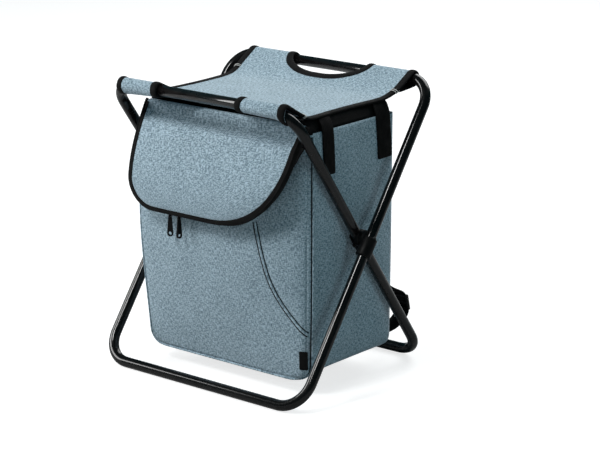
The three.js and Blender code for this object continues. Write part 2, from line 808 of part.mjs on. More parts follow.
const foamInset = bagCloth + 3 * seamGap;
const linerInset = foamInset + foamThickness + seamGap;
place(stool, 'insulation_foam', tub(foamInset, foamThickness), foamWhite);
place(stool, 'cooler_liner', tub(linerInset, linerThickness), linerSilver);

// Black bands that join the bag's top to the seat's sides
const bandThickness = 1.6;
const bandFront = 80;
const bandRear = 84;

function hangingBand() {
  return mappedBox([1, 10, 1], (u, v, w) => {
    const y = THREE.MathUtils.lerp(-bandFront, bandRear, v);
    const under = seatTopAt(y) + bindingRise - bindingThickness - clearance;
    const x = seatWaistHalfWidth - bindingWidth + bandThickness * (u + 1);
    return v3(x, y, THREE.MathUtils.lerp(bagTop + clearance, under, w));
  });
}

place(stool, 'hanging_band_right', hangingBand(), webbingBlack);
place(stool, 'hanging_band_left', mirroredX(hangingBand()), webbingBlack);

// Webbing straps from the seat's edge down the bag's sides
const strapWidth = 25;
const strapThickness = 1.5;
const strapDrop = 62;
const strapLow = bagTop - strapDrop;
const frontStrapPlace = -52;
const rearStrapPlace = 68;

function hangStrap(middle) {
  return mappedBox([1, 2, 8], (u, v, w) => {
    const y = middle + strapWidth * (v - 0.5);
    const under = seatTopAt(y) + bindingRise - bindingThickness - clearance;
    const z = THREE.MathUtils.lerp(strapLow, under, w);
    const out = bagHalfWidth * bagWidthShareAt(Math.min(z, bagTop)) + seamGap;
    const past = Math.max(0, z - bagTop) / (under - bagTop);
    const inner = THREE.MathUtils.lerp(out, seatWaistHalfWidth - strapThickness, past ** 3);
    return v3(inner + strapThickness * u, y, z);
  });
}

[['front', frontStrapPlace], ['rear', rearStrapPlace]].forEach(([end, middle]) => {
  place(stool, `${end}_hang_strap_right`, hangStrap(middle), webbingBlack);
  place(stool, `${end}_hang_strap_left`, mirroredX(hangStrap(middle)), webbingBlack);
});

// Piping of the front seams: down one side, along the bottom and up the other
const pipingRadius = 1.6;

function pipingPath() {
  const path = new THREE.CurvePath();
  const corner = (x, z) => {
    const at = filled(v3(x, -bagFront, z));
    at.x += Math.sign(x) * pipingRadius;
    at.y -= pipingRadius;
    return at;
  };
  const rows = 6;
  const low = bagBottom + pipingRadius;
  const high = bagTop - bagCloth;
  const points = [];
  for (let row = 0; row <= rows; row += 1) {
    points.push(corner(-bagHalfWidth, THREE.MathUtils.lerp(high, low, row / rows)));
  }
  const foot = points[rows];
  const inset = 2 * pipingRadius;
  const under = -bagFront - pipingRadius - seamGap;
  points.push(v3(foot.x + inset, under, low), v3(-foot.x - inset, under, low));
  for (let row = 0; row <= rows; row += 1) {
    points.push(corner(bagHalfWidth, THREE.MathUtils.lerp(low, high, row / rows)));
  }
  for (let i = 1; i < points.length; i += 1) {
    path.add(new THREE.LineCurve3(points[i - 1], points[i]));
  }
  return path;
}

function sweptAlong(curve, radius, sides, steps) {
  const section = new THREE.Shape(polygonPoints(radius, sides, 0));
  return new THREE.ExtrudeGeometry(section, { extrudePath: curve, steps, bevelEnabled: false });
}

place(stool, 'front_piping', sweptAlong(pipingPath(), pipingRadius, 6, 48), bagBlue);

// The curved piping across the lower right of the front
const curvedPipingRadius = 1.4;
const curvedPipingShares = [
  [0.5, 0.967],
  [0.541, 0.844],
  [0.609, 0.66],
  [0.728, 0.5],
  [0.85, 0.389],
  [0.963, 0.318],
];
const curvedPiping = new THREE.CatmullRomCurve3(curvedPipingShares.map(([across, up]) => {
  const x = bagHalfWidth * across;
  const z = bagBottom + (lidBottom - bagBottom) * up;
  const standOff = curvedPipingRadius + 2 * clearance;
  return v3(x, bagFrontAt(x, z) - standOff, z);
}));
const curvedPipingGeometry = sweptAlong(curvedPiping, curvedPipingRadius, 6, 20);
place(stool, 'curved_piping', curvedPipingGeometry, bagBlue);

// The bare tab sewn into the front right seam
const tabWidth = 13;
const tabHeight = 28;
const tabThickness = 1;
const tabRise = 13;
const tabLow = bagBottom + tabRise;
const tabInset = 3.2;
const tabRight = bagHalfWidth - tabInset;

function seamTab() {
  return mappedBox([1, 1, 2], (u, v, w) => {
    const x = tabRight - tabWidth * (1 - u);
    const z = tabLow + tabHeight * w;
    return v3(x, bagFrontAt(x, z) - 2 * clearance - tabThickness * (1 - v), z);
  });
}

place(stool, 'seam_tab', seamTab(), webbingBlack);

// Zip sliders and pulls on the bottom run of the gusset
const sliderLength = 11;
const sliderWidth = 7;
const sliderThickness = 3;
const bailLegs = 6.4;
const bailBar = 1.4;
const bailReach = 4.6;
const bailWidth = 1.6;
const leftSliderPlace = -71;
const rightSliderPlace = -53;
const rightSliderTravel = 30;
const sliderStandOff = 0.5;
const gussetNearZ = lidBottom + gussetNearInset;
const gussetFarZ = lidBottom - gussetFarGrow;

// The middle of the gusset's outer face under the lid, and the way that face looks. The face bulges
// towards the middle of the bag, so a slider takes its seat from the end of its travel.
function gussetSeat(x) {
  const near = v3(x, lidBackAt(x, gussetNearZ) + seamGap, gussetNearZ - gussetThickness);
  const far = v3(x, bagFrontAt(x, gussetFarZ) - seamGap, gussetFarZ - gussetThickness);
  const middle = near.clone().add(far).multiplyScalar(0.5);
  const along = far.clone().sub(near).normalize();
  const outward = along.cross(v3(1, 0, 0)).normalize();
  return { middle, outward };
}

function sliderSolid() {
  const half = sliderWidth / 2;
  const nose = sliderWidth / 4;
  const body = new THREE.Shape();
  body.moveTo(-sliderLength / 2, -nose);
  body.lineTo(0, -half);
  body.lineTo(sliderLength / 2, -half);
  body.lineTo(sliderLength / 2, half);
  body.lineTo(0, half);
  body.lineTo(-sliderLength / 2, nose);
  body.closePath();
  const plate = new THREE.ExtrudeGeometry(body, { depth: sliderThickness, bevelEnabled: false });
  const arch = new THREE.Shape();
  arch.moveTo(-bailLegs / 2, -overrun / 2);
  arch.lineTo(bailLegs / 2, -overrun / 2);
  arch.lineTo(bailLegs / 2, bailReach);
  arch.lineTo(-bailLegs / 2, bailReach);
  arch.closePath();
  const gap = new THREE.Path();
  gap.moveTo(-bailLegs / 2 + bailBar, 0);
  gap.lineTo(-bailLegs / 2 + bailBar, bailReach - bailBar);
  gap.lineTo(bailLegs / 2 - bailBar, bailReach - bailBar);
  gap.lineTo(bailLegs / 2 - bailBar, 0);
  gap.closePath();
  arch.holes.push(gap);
  const bail = new THREE.ExtrudeGeometry(arch, { depth: bailWidth, bevelEnabled: false });
  bail.translate(0, 0, -bailWidth / 2).rotateX(quarterTurn);
  bail.translate(0, 0, sliderThickness);
  return geometryOf(solidOf(plate).add(solidOf(bail)));
}

function sliderAt(x, travel) {
  const seat = gussetSeat(x + travel);
  const base = new THREE.Matrix4().makeBasis(
    v3(1, 0, 0),
    seat.outward.clone().cross(v3(1, 0, 0)),
    seat.outward,
  );
  seat.middle.x = x;
  base.setPosition(seat.middle.addScaledVector(seat.outward, sliderStandOff));
  return sliderSolid().applyMatrix4(base);
}

place(stool, 'zip_slider_left', sliderAt(leftSliderPlace, 0), zincGrey);
place(stool, 'zip_slider_right', sliderAt(rightSliderPlace, rightSliderTravel), zincGrey);

// A pull hangs from the bar of its slider's bail by an eye, and widens to a holed end
const pullLength = 29;
const pullTopWidth = 5;
const pullEndWidth = 9;
const pullThickness = 2.2;
const pullHole = 2.5;
const eyeHole = 1.25;
const eyeWall = 1;
const eyeWidth = 3;

function pullSolid(twist) {
  const eyeRadius = eyeHole + eyeWall;
  const eye = rodAlongX(eyeRadius, -eyeWidth / 2, eyeWidth / 2, 12);
  const hole = rodAlongX(eyeHole, -eyeWidth, eyeWidth, 12);
  const endRadius = pullEndWidth / 2;
  const outline = new THREE.Shape();
  outline.moveTo(-pullTopWidth / 2, -eyeHole);
  outline.lineTo(-endRadius, -pullLength + endRadius);
  outline.absarc(0, -pullLength + endRadius, endRadius, Math.PI, 2 * Math.PI, false);
  outline.lineTo(pullTopWidth / 2, -eyeHole);
  outline.closePath();
  const end = new THREE.Path();
  end.absarc(0, -pullLength + endRadius, pullHole, 0, 2 * Math.PI, true);
  outline.holes.push(end);
  const tab = new THREE.ExtrudeGeometry(outline, {
    depth: pullThickness,
    bevelEnabled: false,
    curveSegments: 6,
  });
  tab.translate(0, 0, -pullThickness / 2).rotateX(quarterTurn).rotateZ(twist);
  return geometryOf(solidOf(eye).add(solidOf(tab)).subtract(solidOf(hole)));
}

function pullAt(x, travel, twist) {
  const seat = gussetSeat(x + travel);
  const reach = sliderStandOff + sliderThickness + bailReach - bailBar / 2;
  const bar = seat.middle.addScaledVector(seat.outward, reach);
  return pullSolid(twist).translate(x, bar.y, bar.z);
}

const leftPullTwist = THREE.MathUtils.degToRad(20);
const rightPullTwist = THREE.MathUtils.degToRad(80);
const rightPull = pullAt(rightSliderPlace, rightSliderTravel, rightPullTwist);
place(stool, 'zip_pull_left', pullAt(leftSliderPlace, 0, leftPullTwist), plasticBlack);
place(stool, 'zip_pull_right', rightPull, plasticBlack);

// Carrying straps on the back of the bag

// A flat ribbon along a curve. Its width lies along X and its thickness faces away from the bag.
function ribbon(points, width, thickness, steps) {
  const curve = new THREE.CatmullRomCurve3(points, false, 'centripetal');
  return mappedBox([1, 1, steps], (u, v, w) => {
    const at = curve.getPointAt(w);
    const heading = curve.getTangentAt(w);
    const away = v3(0, heading.z, -heading.y).normalize();
    at.x += width * (u - 0.5);
    return at.addScaledVector(away, thickness * (v - 0.5));
  });
}

const padWidth = 46;
const padThickness = 8;
const padInset = 75;
const padPlace = bagHalfWidth - padInset;
const padTopInset = 20;
const padRise = 101;
const padTop = bagTop - padTopInset;
const padEnd = bagBottom + padRise;
const webWidth = 25;
const webThickness = 1.6;
const anchorInset = 23;
const anchorRise = 17;
const lockRise = 52;
const lockStandOff = 54;
const anchorPlace = bagHalfWidth - anchorInset;
const anchorHeight = bagBottom + anchorRise;
const lockHeight = bagBottom + lockRise;
const lockReach = bagRear + lockStandOff;
const lockLength = 24;
const lockWidth = 30;
const lockThickness = 5;
const backFace = bagRear + rearSwell;

function shoulderPad() {
  const standOff = padThickness / 2 + seamGap;
  return ribbon([
    v3(padPlace, bagRearAt(padPlace, padTop) + standOff, padTop),
    v3(padPlace + padWidth / 8, backFace + standOff + padThickness, (padTop + padEnd) / 2),
    v3(padPlace + padWidth / 2, backFace + standOff + padThickness, padEnd),
  ], padWidth, padThickness, 12);
}

place(stool, 'shoulder_pad_right', shoulderPad(), webbingBlack);
place(stool, 'shoulder_pad_left', mirroredX(shoulderPad()), webbingBlack);

// The ladder lock: a small frame with two slots
function ladderLock() {
  const half = lockWidth / 2;
  const bar = lockThickness / 2;
  const outline = new THREE.Shape([
    new THREE.Vector2(-half, -lockLength / 2),
    new THREE.Vector2(half, -lockLength / 2),
    new THREE.Vector2(half, lockLength / 2),
    new THREE.Vector2(-half, lockLength / 2),
  ]);
  const slotHeight = (lockLength - 3 * bar) / 2;
  [-1, 1].forEach((side) => {
    const low = side < 0 ? -lockLength / 2 + bar : bar / 2;
    outline.holes.push(new THREE.Path([
      new THREE.Vector2(-half + bar, low),
      new THREE.Vector2(-half + bar, low + slotHeight),
      new THREE.Vector2(half - bar, low + slotHeight),
      new THREE.Vector2(half - bar, low),
    ]));
  });
  const lock = new THREE.ExtrudeGeometry(outline, { depth: lockThickness, bevelEnabled: false });
  lock.translate(0, 0, -lockThickness / 2).rotateX(quarterTurn);
  return lock;
}

const lockTilt = THREE.MathUtils.degToRad(14);

function lockRight() {
  const lock = ladderLock().rotateX(lockTilt);
  return lock.translate(anchorPlace, lockReach, lockHeight);
}

place(stool, 'ladder_lock_right', lockRight(), plasticBlack);
place(stool, 'ladder_lock_left', mirroredX(lockRight()), plasticBlack);

// Upper webbing from the pad to the lock and lower webbing from the lock to the bag's corner
function upperWebbing() {
  return ribbon([
    v3(padPlace + padWidth / 2, backFace + 2 * padThickness, padEnd - seamGap - clearance),
    v3(anchorPlace, lockReach - lockThickness, lockHeight + lockLength / 2),
  ], webWidth, webThickness, 6);
}

function lowerWebbing() {
  return ribbon([
    v3(anchorPlace, lockReach + lockThickness, lockHeight - lockLength / 2),
    v3(anchorPlace, lockReach, (lockHeight + anchorHeight) / 2 - lockThickness),
    v3(anchorPlace, bagRear + webThickness, anchorHeight),
  ], webWidth, webThickness, 8);
}

place(stool, 'upper_webbing_right', upperWebbing(), webbingBlack);
place(stool, 'upper_webbing_left', mirroredX(upperWebbing()), webbingBlack);
place(stool, 'lower_webbing_right', lowerWebbing(), webbingBlack);
place(stool, 'lower_webbing_left', mirroredX(lowerWebbing()), webbingBlack);

export default stool;
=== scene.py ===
"""A folding cooler stool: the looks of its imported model, in the same frame, in metres."""

import math

import bmesh
import bpy
from bpy.props import FloatProperty, FloatVectorProperty, PointerProperty
from mathutils import Matrix, Vector, noise
from mathutils.bvhtree import BVHTree


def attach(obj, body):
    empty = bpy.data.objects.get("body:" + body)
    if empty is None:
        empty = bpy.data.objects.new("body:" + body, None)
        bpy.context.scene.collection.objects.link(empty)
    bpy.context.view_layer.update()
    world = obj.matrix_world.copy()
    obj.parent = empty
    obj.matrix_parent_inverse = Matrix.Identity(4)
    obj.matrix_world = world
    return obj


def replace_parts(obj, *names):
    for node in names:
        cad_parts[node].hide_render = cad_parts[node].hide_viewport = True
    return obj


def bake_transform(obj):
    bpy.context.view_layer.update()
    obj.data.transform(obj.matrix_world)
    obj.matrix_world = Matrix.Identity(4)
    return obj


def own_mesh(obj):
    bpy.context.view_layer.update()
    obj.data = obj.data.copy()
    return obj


bl_info = {
    "name": "Folding Cooler Stool",
    "version": (1, 0, 0),
    "blender": (4, 5, 0),
    "location": "View3D > Sidebar > Stool",
    "description": "Builds the cloth, tubes, bag, straps and finishes of a folding cooler stool",
    "category": "Object",
}

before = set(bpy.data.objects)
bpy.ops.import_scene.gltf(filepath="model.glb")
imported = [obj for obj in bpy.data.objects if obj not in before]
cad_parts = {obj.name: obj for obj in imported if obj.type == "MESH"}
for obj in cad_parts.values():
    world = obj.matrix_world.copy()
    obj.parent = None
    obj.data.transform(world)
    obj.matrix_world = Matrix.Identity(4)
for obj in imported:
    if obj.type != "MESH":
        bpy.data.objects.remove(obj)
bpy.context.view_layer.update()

MM = 0.001
QUARTER = math.pi / 2

# Frames
TUBE_RADIUS = 7.5 * MM
TUBE_WALL = 1.2 * MM
BEND_RADIUS = 40 * MM
BAR_HEIGHT = 412 * MM
BAR_REACH = 143.7 * MM
FOOT_REACH = 149.7 * MM
OUTER_HALF = 180.8 * MM
INNER_HALF = 160.9 * MM
MATING_PLANE = (OUTER_HALF + INNER_HALF) / 2
PIVOT_HEIGHT = TUBE_RADIUS + (BAR_HEIGHT - TUBE_RADIUS) * FOOT_REACH / (BAR_REACH + FOOT_REACH)
LEG_LEAN = math.atan2(BAR_REACH + FOOT_REACH, BAR_HEIGHT - TUBE_RADIUS)
LEG_ABOVE = math.hypot(BAR_REACH, BAR_HEIGHT - PIVOT_HEIGHT)
LEG_BELOW = math.hypot(FOOT_REACH, PIVOT_HEIGHT - TUBE_RADIUS)
JOINT_FROM_SIDE = 65 * MM
JOINT_GAP = 0.6 * MM

# Seat
SEAT_HEIGHT = 391.5 * MM
SEAT_SLOPE = math.radians(30)
SEAT_SOFTNESS = 8 * MM
SEAT_BEND_PLACE = 88.4 * MM
SEAT_WAIST = 140 * MM
SEAT_END = 148 * MM
SLEEVE_END = 146 * MM
SLEEVE_RADIUS = 9.9 * MM
TAIL_TOP_REACH = 107.5 * MM
HEM_WIDTH = 30 * MM
TAPE_PAST = 3 * MM
HEM_INSET = 7 * MM
SLEEVE_FLARE = {(1, -1): 0.5, (-1, -1): 0.8, (1, 1): 0.3, (-1, 1): 0.3}
CORNER_EXTRA = {(1, -1): 7 * MM, (-1, -1): 0.0, (1, 1): 4 * MM, (-1, 1): 5 * MM}
NOTCH_HALF = 72 * MM
NOTCH_DEPTH = 38 * MM
REAR_NOTCH_HALF = 67 * MM
REAR_NOTCH_DEPTH = 31 * MM
NOTCH_LEAST = 5 * MM
WIDENING_START = {1: 0.6, -1: 0.92}
HEM_START = 26 * MM
HEM_EASE = 8 * MM
TAPE_GROWS_AT = 30 * MM
TAPE_GROWS_IN = 10 * MM
RING_EASE = 12 * MM
BEND_EASE = 15 * MM
BEND_COVER = 1.8 * MM
BEND_FALL = 0.45
BEND_REACH = 0.95
TACK_BACK = 9 * MM
TACK_LONG = 6 * MM
TACK_THREAD = 1.1 * MM

# Bag
BAG_HALF = 147 * MM
BAG_LOW_HALF = 145 * MM
BAG_FRONT = 92 * MM
BAG_REAR = 95 * MM
BAG_BOTTOM = 27 * MM
BAG_TOP = 372 * MM
FRONT_SWELL = 26 * MM
REAR_SWELL = 8 * MM
LEFT_SWELL = 18 * MM
FRONT_SAG = 3 * MM
FRONT_WRAP = 11 * MM
GROOVE_WRAP = 8.6 * MM
SIDE_FOLD = 3 * MM
SIDE_FADE = 50 * MM
SIDE_ROOM = 147.9 * MM
SIDE_MORE_ROOM = 4 * MM
PIVOT_CLEAR = 28 * MM
PIVOT_EASE = 25 * MM
FRONT_ROUND = 12 * MM
LEFT_ROUND = 6 * MM
BAG_PRESSURE = 3.0
BASE_HOLD = 0.7
SEAM_HOLD = 0.9
SEAM_HELD_WIDTH = 4 * MM
UPPER_HOLD = 0.5
UPPER_HELD_FROM = 235 * MM
SEAM_DIP = 1.2 * MM
SEAM_DIP_WIDTH = 3.5 * MM
FOAM_INSET = 4.1 * MM
FOAM_THICK = 6 * MM
FOIL_INSET = 10.8 * MM
FOIL_THICK = 1.2 * MM

# Lid
LID_TOP = 384 * MM
LID_BOTTOM = 239 * MM
LID_LEFT = 138 * MM
LID_RIGHT = 146.5 * MM
LID_REACH = 98 * MM
LID_LIFT = 40 * MM
LID_LEAN_HEIGHT = 120 * MM
LEFT_CORNER = 44 * MM
RIGHT_CORNER = 112 * MM
RIGHT_CORNER_WIDE = 124 * MM
RIGHT_TAPER = 6 * MM
LID_THICK = 8 * MM
ZIP_TUCK = 14 * MM
LID_CREASE = 370 * MM
LID_CREASE_WIDTH = 8 * MM
LID_CREASE_DEPTH = 8 * MM
LID_PRESSURE = 4.0
LID_PUFF = 3 * MM
LID_EDGE_GROWS = 1.4 * MM
LID_TAPE_WIDTH = 10.6 * MM
LID_TAPE_THICK = 3.2 * MM
LIP_OUTER = 1.6 * MM
LIP_NEAR = -1.2 * MM
LIP_INNER = -5.2 * MM
LIP_THICK = 1.8 * MM
MOUTH_FRONT = -60 * MM
MOUTH_TOP = 362 * MM
MOUTH_INSET = 10 * MM
ZIP_TOP = 356 * MM
TUCK_START = 30 * MM
TUCK_EASE = 70 * MM
TUCK_TOP = 350 * MM
TUCK_RISE = 30 * MM
ZIP_NEAR = -3.2 * MM
ZIP_FAR = -2.2 * MM
ZIP_FAR_UNDER = 6.8 * MM
ZIP_BACK = 0.8 * MM
ZIP_THICK = 1.6 * MM
COIL_WIDTH = 4.6 * MM
COIL_THICK = 1.2 * MM
COIL_LIFT = 1 * MM

# Collars and rivets
COLLAR_RADIUS = 11 * MM
COLLAR_LENGTH = 28 * MM
COLLAR_SOFT = 1.6 * MM
COLLAR_DROP = 12 * MM
COLLAR_WAIST = 0.4 * MM
BOSS_RADIUS = 12 * MM
EAR = (3.2 * MM, 5 * MM, 6 * MM)
EAR_ROUND = 1.1 * MM
RIVET_HEAD = 5.1 * MM
RIVET_HIGH = 1.7 * MM
RIVET_RIM = 0.6 * MM
RIVET_OUTSIDE = 190.3 * MM
RIVET_INSIDE = 148.4 * MM

# Seams; names that end in MM hold millimetres
CURVED_SEAM_MM = ((72, 244), (75.4, 226), (79.5, 206), (83.3, 189), (89.5, 167), (97.4, 149),
                  (107, 133), (119.8, 116), (134.5, 99.7), (143.5, 91.6))
# Near-black seam lines: stitching, and painted shade of the seam grooves
STITCH_SHADE_WIDTH = 1.7 * MM
STITCH_SHADE_THICK = 0.8 * MM
STITCH_SHADE_LIFT = 0.35 * MM
STITCH_SHADE_OFFSET = 2.9 * MM
TAB_PLACE = 138.5 * MM
TAB_TOP = 67.5 * MM
TAB_END = 40.5 * MM
TAB_WIDTH = 13 * MM
TAB_THICK = 1.2 * MM
WELT_WIDTH = 4.2 * MM
WELT_THICK = 2.8 * MM
WELT_LIFT = 0.7 * MM
PIPING_OUT = 0.4 * MM
PIPING_FORWARD = 0.5 * MM
GROOVE_LOW = 3 * MM
GROOVE_HIGH = 5 * MM

# Straps
STRAP_THICK = 1.6 * MM
STRAP_LOW = 310 * MM
STRAP_HELD = BAG_TOP - 8 * MM
STRAP_UNDER_SEAT = 2.9 * MM
STRAP_OFF_BAG = 1.3 * MM
STRAP_OFF_WAIST = 0.6 * MM
HANG_STRAPS = (("front", -52 * MM, 2 * MM, 25 * MM), ("rear", 71 * MM, 4 * MM, 33 * MM))
BAND_REAR = 88 * MM
BAND_FRONT_RIGHT = -93 * MM
BAND_FRONT_LEFT = -86 * MM
CARRY_WIDTH = 25 * MM
PAD_WIDTH = 45 * MM
PAD_THICK = 7.6 * MM
PAD_TOP = 351 * MM
PAD_END = 129 * MM
PAD_TOP_PLACE = 72 * MM
PAD_END_PLACE = 95 * MM
PAD_OFF_BAG = 4.9 * MM
PAD_CLEAR_TOP = 104 * MM
PAD_CLEAR = 115.7 * MM
UPPER_WEBBING_MM = ((95, 119.6, 127.2), (110, 127, 107), (124, 145, 93), (124, 147.8, 78))
LOWER_WEBBING_MM = ((124, 151.5, 82), (124, 154.5, 66), (124, 147, 55), (124, 125, 46),
                    (124, 97.4, 44.2))

# Stage; a light has a name, place, width, height, power, tint, and whether it shows in reflections
CAMERA_PLACE = (1.9090, -2.2718, 1.0218)
CAMERA_HEIGHT_ANGLE = math.radians(15.4)
CAMERA_TURN = math.radians(39.2)
CAMERA_LENS = 130.16
CAMERA_SHIFT = (0.0019, -0.0016)
WHITE = (1, 1, 1)
LIGHTS = (
    ("key_light", (-0.53, -2.46, 3.0), 0.7, 0.9, 62.0, WHITE, True),
    ("left_light", (-3.0, -1.8, 1.6), 1.6, 1.6, 84.0, WHITE, True),
    ("top_light", (-0.2, 2.2, 2.3), 2.2, 2.2, 68.0, WHITE, True),
    ("edge_light", (2.8, -0.4, 1.4), 0.35, 1.6, 10.0, (0.7, 0.96, 1), False),
)
WORLD_TINT = (0.2, 0.82, 1, 1)
WORLD_STRENGTH = 0.065
FLOOR_HALF = 30
FLOOR_DROP = 0.2 * MM

# How bands and cords are divided across, rounded and smoothed
TAPE = {"steps": (4, 2), "rounding": 0.45}
LIP = {"steps": (4, 2), "rounding": 0.5}
WEBBING = {"steps": (6, 1), "rounding": 0.3}
CORD = {"steps": (2, 2), "rounding": 1}
FLAT = {"steps": (4, 1), "rounding": 0.0, "levels": 0}
STITCH_SHADE_FORM = {"steps": (1, 1), "levels": 0}


# Settings

def length(label, description, default, most=0.1):
    return FloatProperty(name=label, description=description, default=default,
                         min=0.0, max=most, subtype="DISTANCE", unit="LENGTH")


def colour(label, description, default):
    return FloatVectorProperty(name=label, description=description, default=default,
                               size=4, min=0.0, max=1.0, subtype="COLOR")


class StoolSizes(bpy.types.PropertyGroup):
    cloth: length("Cloth", "Thickness of the seat and bag cloth", 2 * MM, 4 * MM)
    binding_width: length("Binding width", "Width of the tape on the seat's edges", 10.5 * MM)
    ring_width: length("Ring width", "Width of that tape round the sleeves' ends", 11 * MM)
    binding_thick: length("Binding thickness", "Thickness of that tape", 5 * MM)
    corner: length("Bag corner", "Radius of the bag's lower corners", 20 * MM)
    puff: length("Puff", "How far the padded cloth may swell between seams", 4 * MM, 10 * MM)
    crown: length("Lid crown", "How far the lid swells in its middle", 8.4 * MM, 9 * MM)
    piping: length("Piping radius", "Radius of the cord in the bag's front seam", 1.6 * MM)
    dash: length("Thread length", "Length of one coloured thread on the cloth's face", 4.6 * MM)
    thread: length("Thread width", "Width of one coloured thread", 1.0 * MM)
    rib: length("Webbing rib", "Distance from one rib of the webbing to the next", 1.6 * MM)


class StoolColours(bpy.types.PropertyGroup):
    cloth_light: colour("Cloth light", "Light threads of the cloth",
                        (0.455, 0.585, 0.668, 1))
    cloth_dark: colour("Cloth dark", "Dark threads of the cloth",
                       (0.142, 0.21, 0.257, 1))
    tube: colour("Tube", "Powder coat of the tubes", (0.004, 0.0035, 0.0035, 1))
    plastic: colour("Plastic", "Moulded collars and locks", (0.002, 0.002, 0.002, 1))
    webbing: colour("Webbing", "Straps, tapes and pads", (0.0032, 0.003, 0.003, 1))
    zip_tape: colour("Zip tape", "Tape and coil of the zip", (0.010, 0.007, 0.006, 1))
    metal: colour("Metal", "Sliders and rivets", (0.30, 0.30, 0.31, 1))
    foam: colour("Foam", "Insulation foam", (0.80, 0.80, 0.78, 1))
    foil: colour("Foil", "Bright liner", (0.78, 0.79, 0.80, 1))
    floor: colour("Floor", "Studio floor", (0.45, 0.45, 0.45, 1))


def sizes():
    return bpy.context.scene.stool_sizes


def colours():
    return bpy.context.scene.stool_colours


# Node groups

FINISH_SOCKETS = (("Color", "NodeSocketColor"), ("Height", "NodeSocketFloat"),
                  ("Roughness", "NodeSocketFloat"))
BLACK = (0.01, 0.01, 0.01, 1)


def new_group(name, inputs, outputs=FINISH_SOCKETS):
    """A shader group, the sockets it is given and the node that takes its results."""
    group = bpy.data.node_groups.new(name, "ShaderNodeTree")
    group.interface.new_socket("Vector", in_out="INPUT", socket_type="NodeSocketVector")
    for label, default in inputs.items():
        kind = "NodeSocketColor" if isinstance(default, tuple) else "NodeSocketFloat"
        socket = group.interface.new_socket(label, in_out="INPUT", socket_type=kind)
        socket.default_value = default
    for label, kind in outputs:
        group.interface.new_socket(label, in_out="OUTPUT", socket_type=kind)
    given = group.nodes.new("NodeGroupInput").outputs
    return group, given, group.nodes.new("NodeGroupOutput")


def feed(tree, socket, value):
    """Links a socket to another one, or sets it to a plain value."""
    if isinstance(value, bpy.types.NodeSocket):
        tree.links.new(value, socket)
    else:
        socket.default_value = value


def wire(tree, node, **links):
    """Sets or links a node's inputs by name, with blanks written as underscores."""
    for label, value in links.items():
        feed(tree, node.inputs[label.replace("_", " ")], value)
    return node


def maths(tree, operation, *values):
    node = tree.nodes.new("ShaderNodeMath")
    node.operation = operation
    for socket, value in zip(node.inputs, values):
        feed(tree, socket, value)
    return node.outputs[0]


def spread(tree, value, low, high, to_low=0.0, to_high=1.0):
    node = tree.nodes.new("ShaderNodeMapRange")
    node.interpolation_type = "SMOOTHSTEP"
    wire(tree, node, Value=value, From_Min=low, From_Max=high, To_Min=to_low, To_Max=to_high)
    return node.outputs[0]


def mix_colour(tree, factor, first, second):
    node = tree.nodes.new("ShaderNodeMix")
    node.data_type = "RGBA"
    for index, value in ((0, factor), (6, first), (7, second)):
        feed(tree, node.inputs[index], value)
    return node.outputs[2]


def stretched(tree, vector, scale):
    node = tree.nodes.new("ShaderNodeVectorMath")
    node.operation = "MULTIPLY"
    feed(tree, node.inputs[0], vector)
    feed(tree, node.inputs[1], scale)
    return node.outputs[0]


def noise_value(tree, vector, scale, detail=2.0, roughness=0.5):
    node = tree.nodes.new("ShaderNodeTexNoise")
    wire(tree, node, Vector=vector, Scale=scale, Detail=detail, Roughness=roughness)
    return node.outputs["Fac"]


def wave_value(tree, axis, vector, scale, distortion, detail_scale=1.0):
    """Bands along one axis of the pattern."""
    wave = tree.nodes.new("ShaderNodeTexWave")
    wave.bands_direction = axis
    wire(tree, wave, Vector=vector, Scale=scale, Distortion=distortion, Detail=1.0,
         Detail_Scale=detail_scale)
    return wave.outputs["Fac"]


def melange_group():
    """Two-tone threads in both directions, with a slow change of tone."""
    group, given, put = new_group("Melange weave", {
        "Light": (0.4, 0.5, 0.57, 1), "Dark": (0.16, 0.23, 0.29, 1),
        "Dash": 3 * MM, "Thread": 0.7 * MM, "Contrast": 1.0}, FINISH_SOCKETS[:2])
    vector = given["Vector"]
    fine = maths(group, "DIVIDE", 1.0, given["Thread"])
    long = maths(group, "DIVIDE", 1.0, given["Dash"])
    threads = []
    for first, second in ((fine, long), (long, fine)):
        scale = group.nodes.new("ShaderNodeCombineXYZ")
        wire(group, scale, X=first, Y=second, Z=long)
        along = stretched(group, vector, scale.outputs[0])
        threads.append(noise_value(group, along, 1.0, 1.0, 0.4))
    both = maths(group, "ADD", *threads)
    tone = maths(group, "MULTIPLY_ADD", maths(group, "SUBTRACT", both, 1.0), given["Contrast"], 0.5)
    for scale, share in ((26.0, 0.35), (260.0, 0.2)):
        change = maths(group, "SUBTRACT", noise_value(group, vector, scale), 0.5)
        tone = maths(group, "ADD", tone, maths(group, "MULTIPLY", change, share))
    shade = spread(group, tone, 0.0, 1.0)
    pitch = maths(group, "DIVIDE", 0.16, given["Thread"])
    crossed = maths(group, "MULTIPLY",
                    *(wave_value(group, axis, vector, pitch, 1.5, 3.0) for axis in ("X", "Y")))
    wire(group, put, Color=mix_colour(group, shade, given["Dark"], given["Light"]),
         Height=maths(group, "ADD", maths(group, "MULTIPLY", both, 0.6), crossed))
    return group


